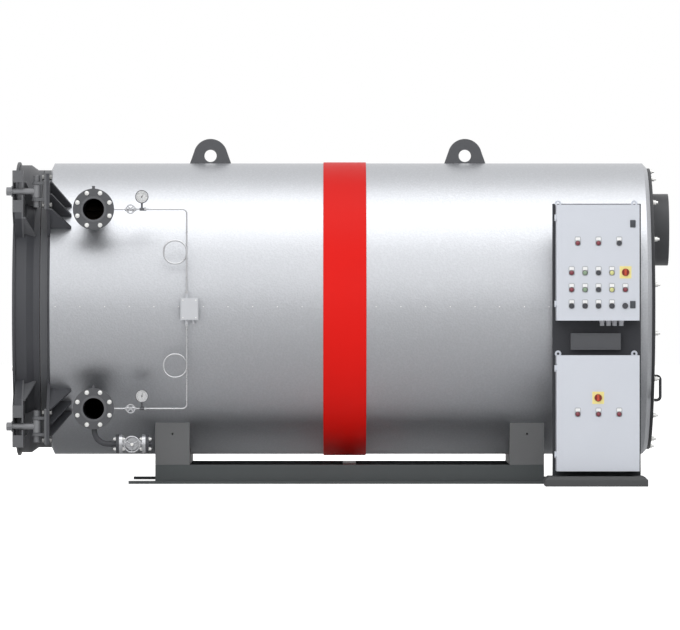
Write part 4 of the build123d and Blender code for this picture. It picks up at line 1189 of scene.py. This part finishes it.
legend_plastic = moulded("legend_plastic", tint(242, 242, 242), 0.35)
holder_plastic = moulded("holder_plastic", tint(176, 179, 184), 0.45)
collar_metal = plated("collar_metal", tint(120, 121, 124), 0.3)
switch_yellow = moulded("switch_yellow", tint(240, 226, 150))
switch_red = moulded("switch_red", tint(126, 30, 14), 0.35)
# The grip is a lighter copy of the knob's red, which paints the highlight on it.
grip_red_painted_highlight = moulded("grip_red_painted_highlight", tint(196, 72, 44), 0.35)
operators = {
    "red": (lamp_dome, lens("red_lens", tint(130, 44, 58))),
    "green": (lamp_dome, lens("green_lens", tint(138, 162, 134))),
    "yellow": (lamp_dome, lens("yellow_lens", tint(222, 222, 148))),
    "black": (push_button, black_plastic),
    "selector": (selector, black_plastic),
}
for level, rows in (("upper", upper_rows), ("lower", lower_rows)):
    body = f"{level}_cabinet_door"
    by_kind = {}
    for z, pitch, kinds in rows:
        for kind, places in kinds.items():
            for place in places:
                at = (door_middle + place * pitch, door_face, z)
                by_kind.setdefault(kind, []).append((at, (0, -1, 0)))
    everywhere = [place for places in by_kind.values() for place in places]
    collared = [place for kind, places in by_kind.items() if kind != "selector" for place in places]
    switch_x, switch_z = main_switches[level]
    switch_place = [((switch_x, door_face, switch_z), (0, -1, 0))]
    pieces = [
        ("legend_plates", legend, legend_plastic, everywhere, f"{level}_controls"),
        ("holders", holder, holder_plastic, everywhere),
        ("collars", collar, collar_metal, collared),
    ]
    for kind, places in by_kind.items():
        pieces.append((f"{kind}_operators", *operators[kind], places))
    pieces.append(("switch_plate", main_plate, switch_yellow, switch_place))
    pieces.append(("switch_knob", main_knob, switch_red, switch_place))
    pieces.append(("switch_grip", main_grip, grip_red_painted_highlight, switch_place))
    for name, shape, finish, places, *solids in pieces:
        piece = set_out(shape(), places)
        finished(piece, f"{level}_{name}", finish, body, "control_plastic", *solids)
    switch_body = rounded(brick((-0.024, -0.024, -0.055), (0.024, 0.024, -door_sheet)), 0.003)
    blocks = [set_out(contact_block(), everywhere), set_out(switch_body, switch_place)]
    finished(joined(blocks), f"{level}_contact_blocks", black_plastic, body, "control_plastic")
locks = [((x, door_face, z), (0, -1, 0)) for x, z in lock_places]
lock_zinc = plated("lock_zinc", tint(92, 95, 100), 0.4)
finished(set_out(lock(), locks), "door_locks", lock_zinc, "upper_cabinet_door", "control_plastic")
knob = set_out(round_knob(), [((round_knob_at[0], door_face, round_knob_at[1]), (0, -1, 0))])
finished(knob, "round_knob", black_plastic, "upper_cabinet_door", "control_plastic")

low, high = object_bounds()
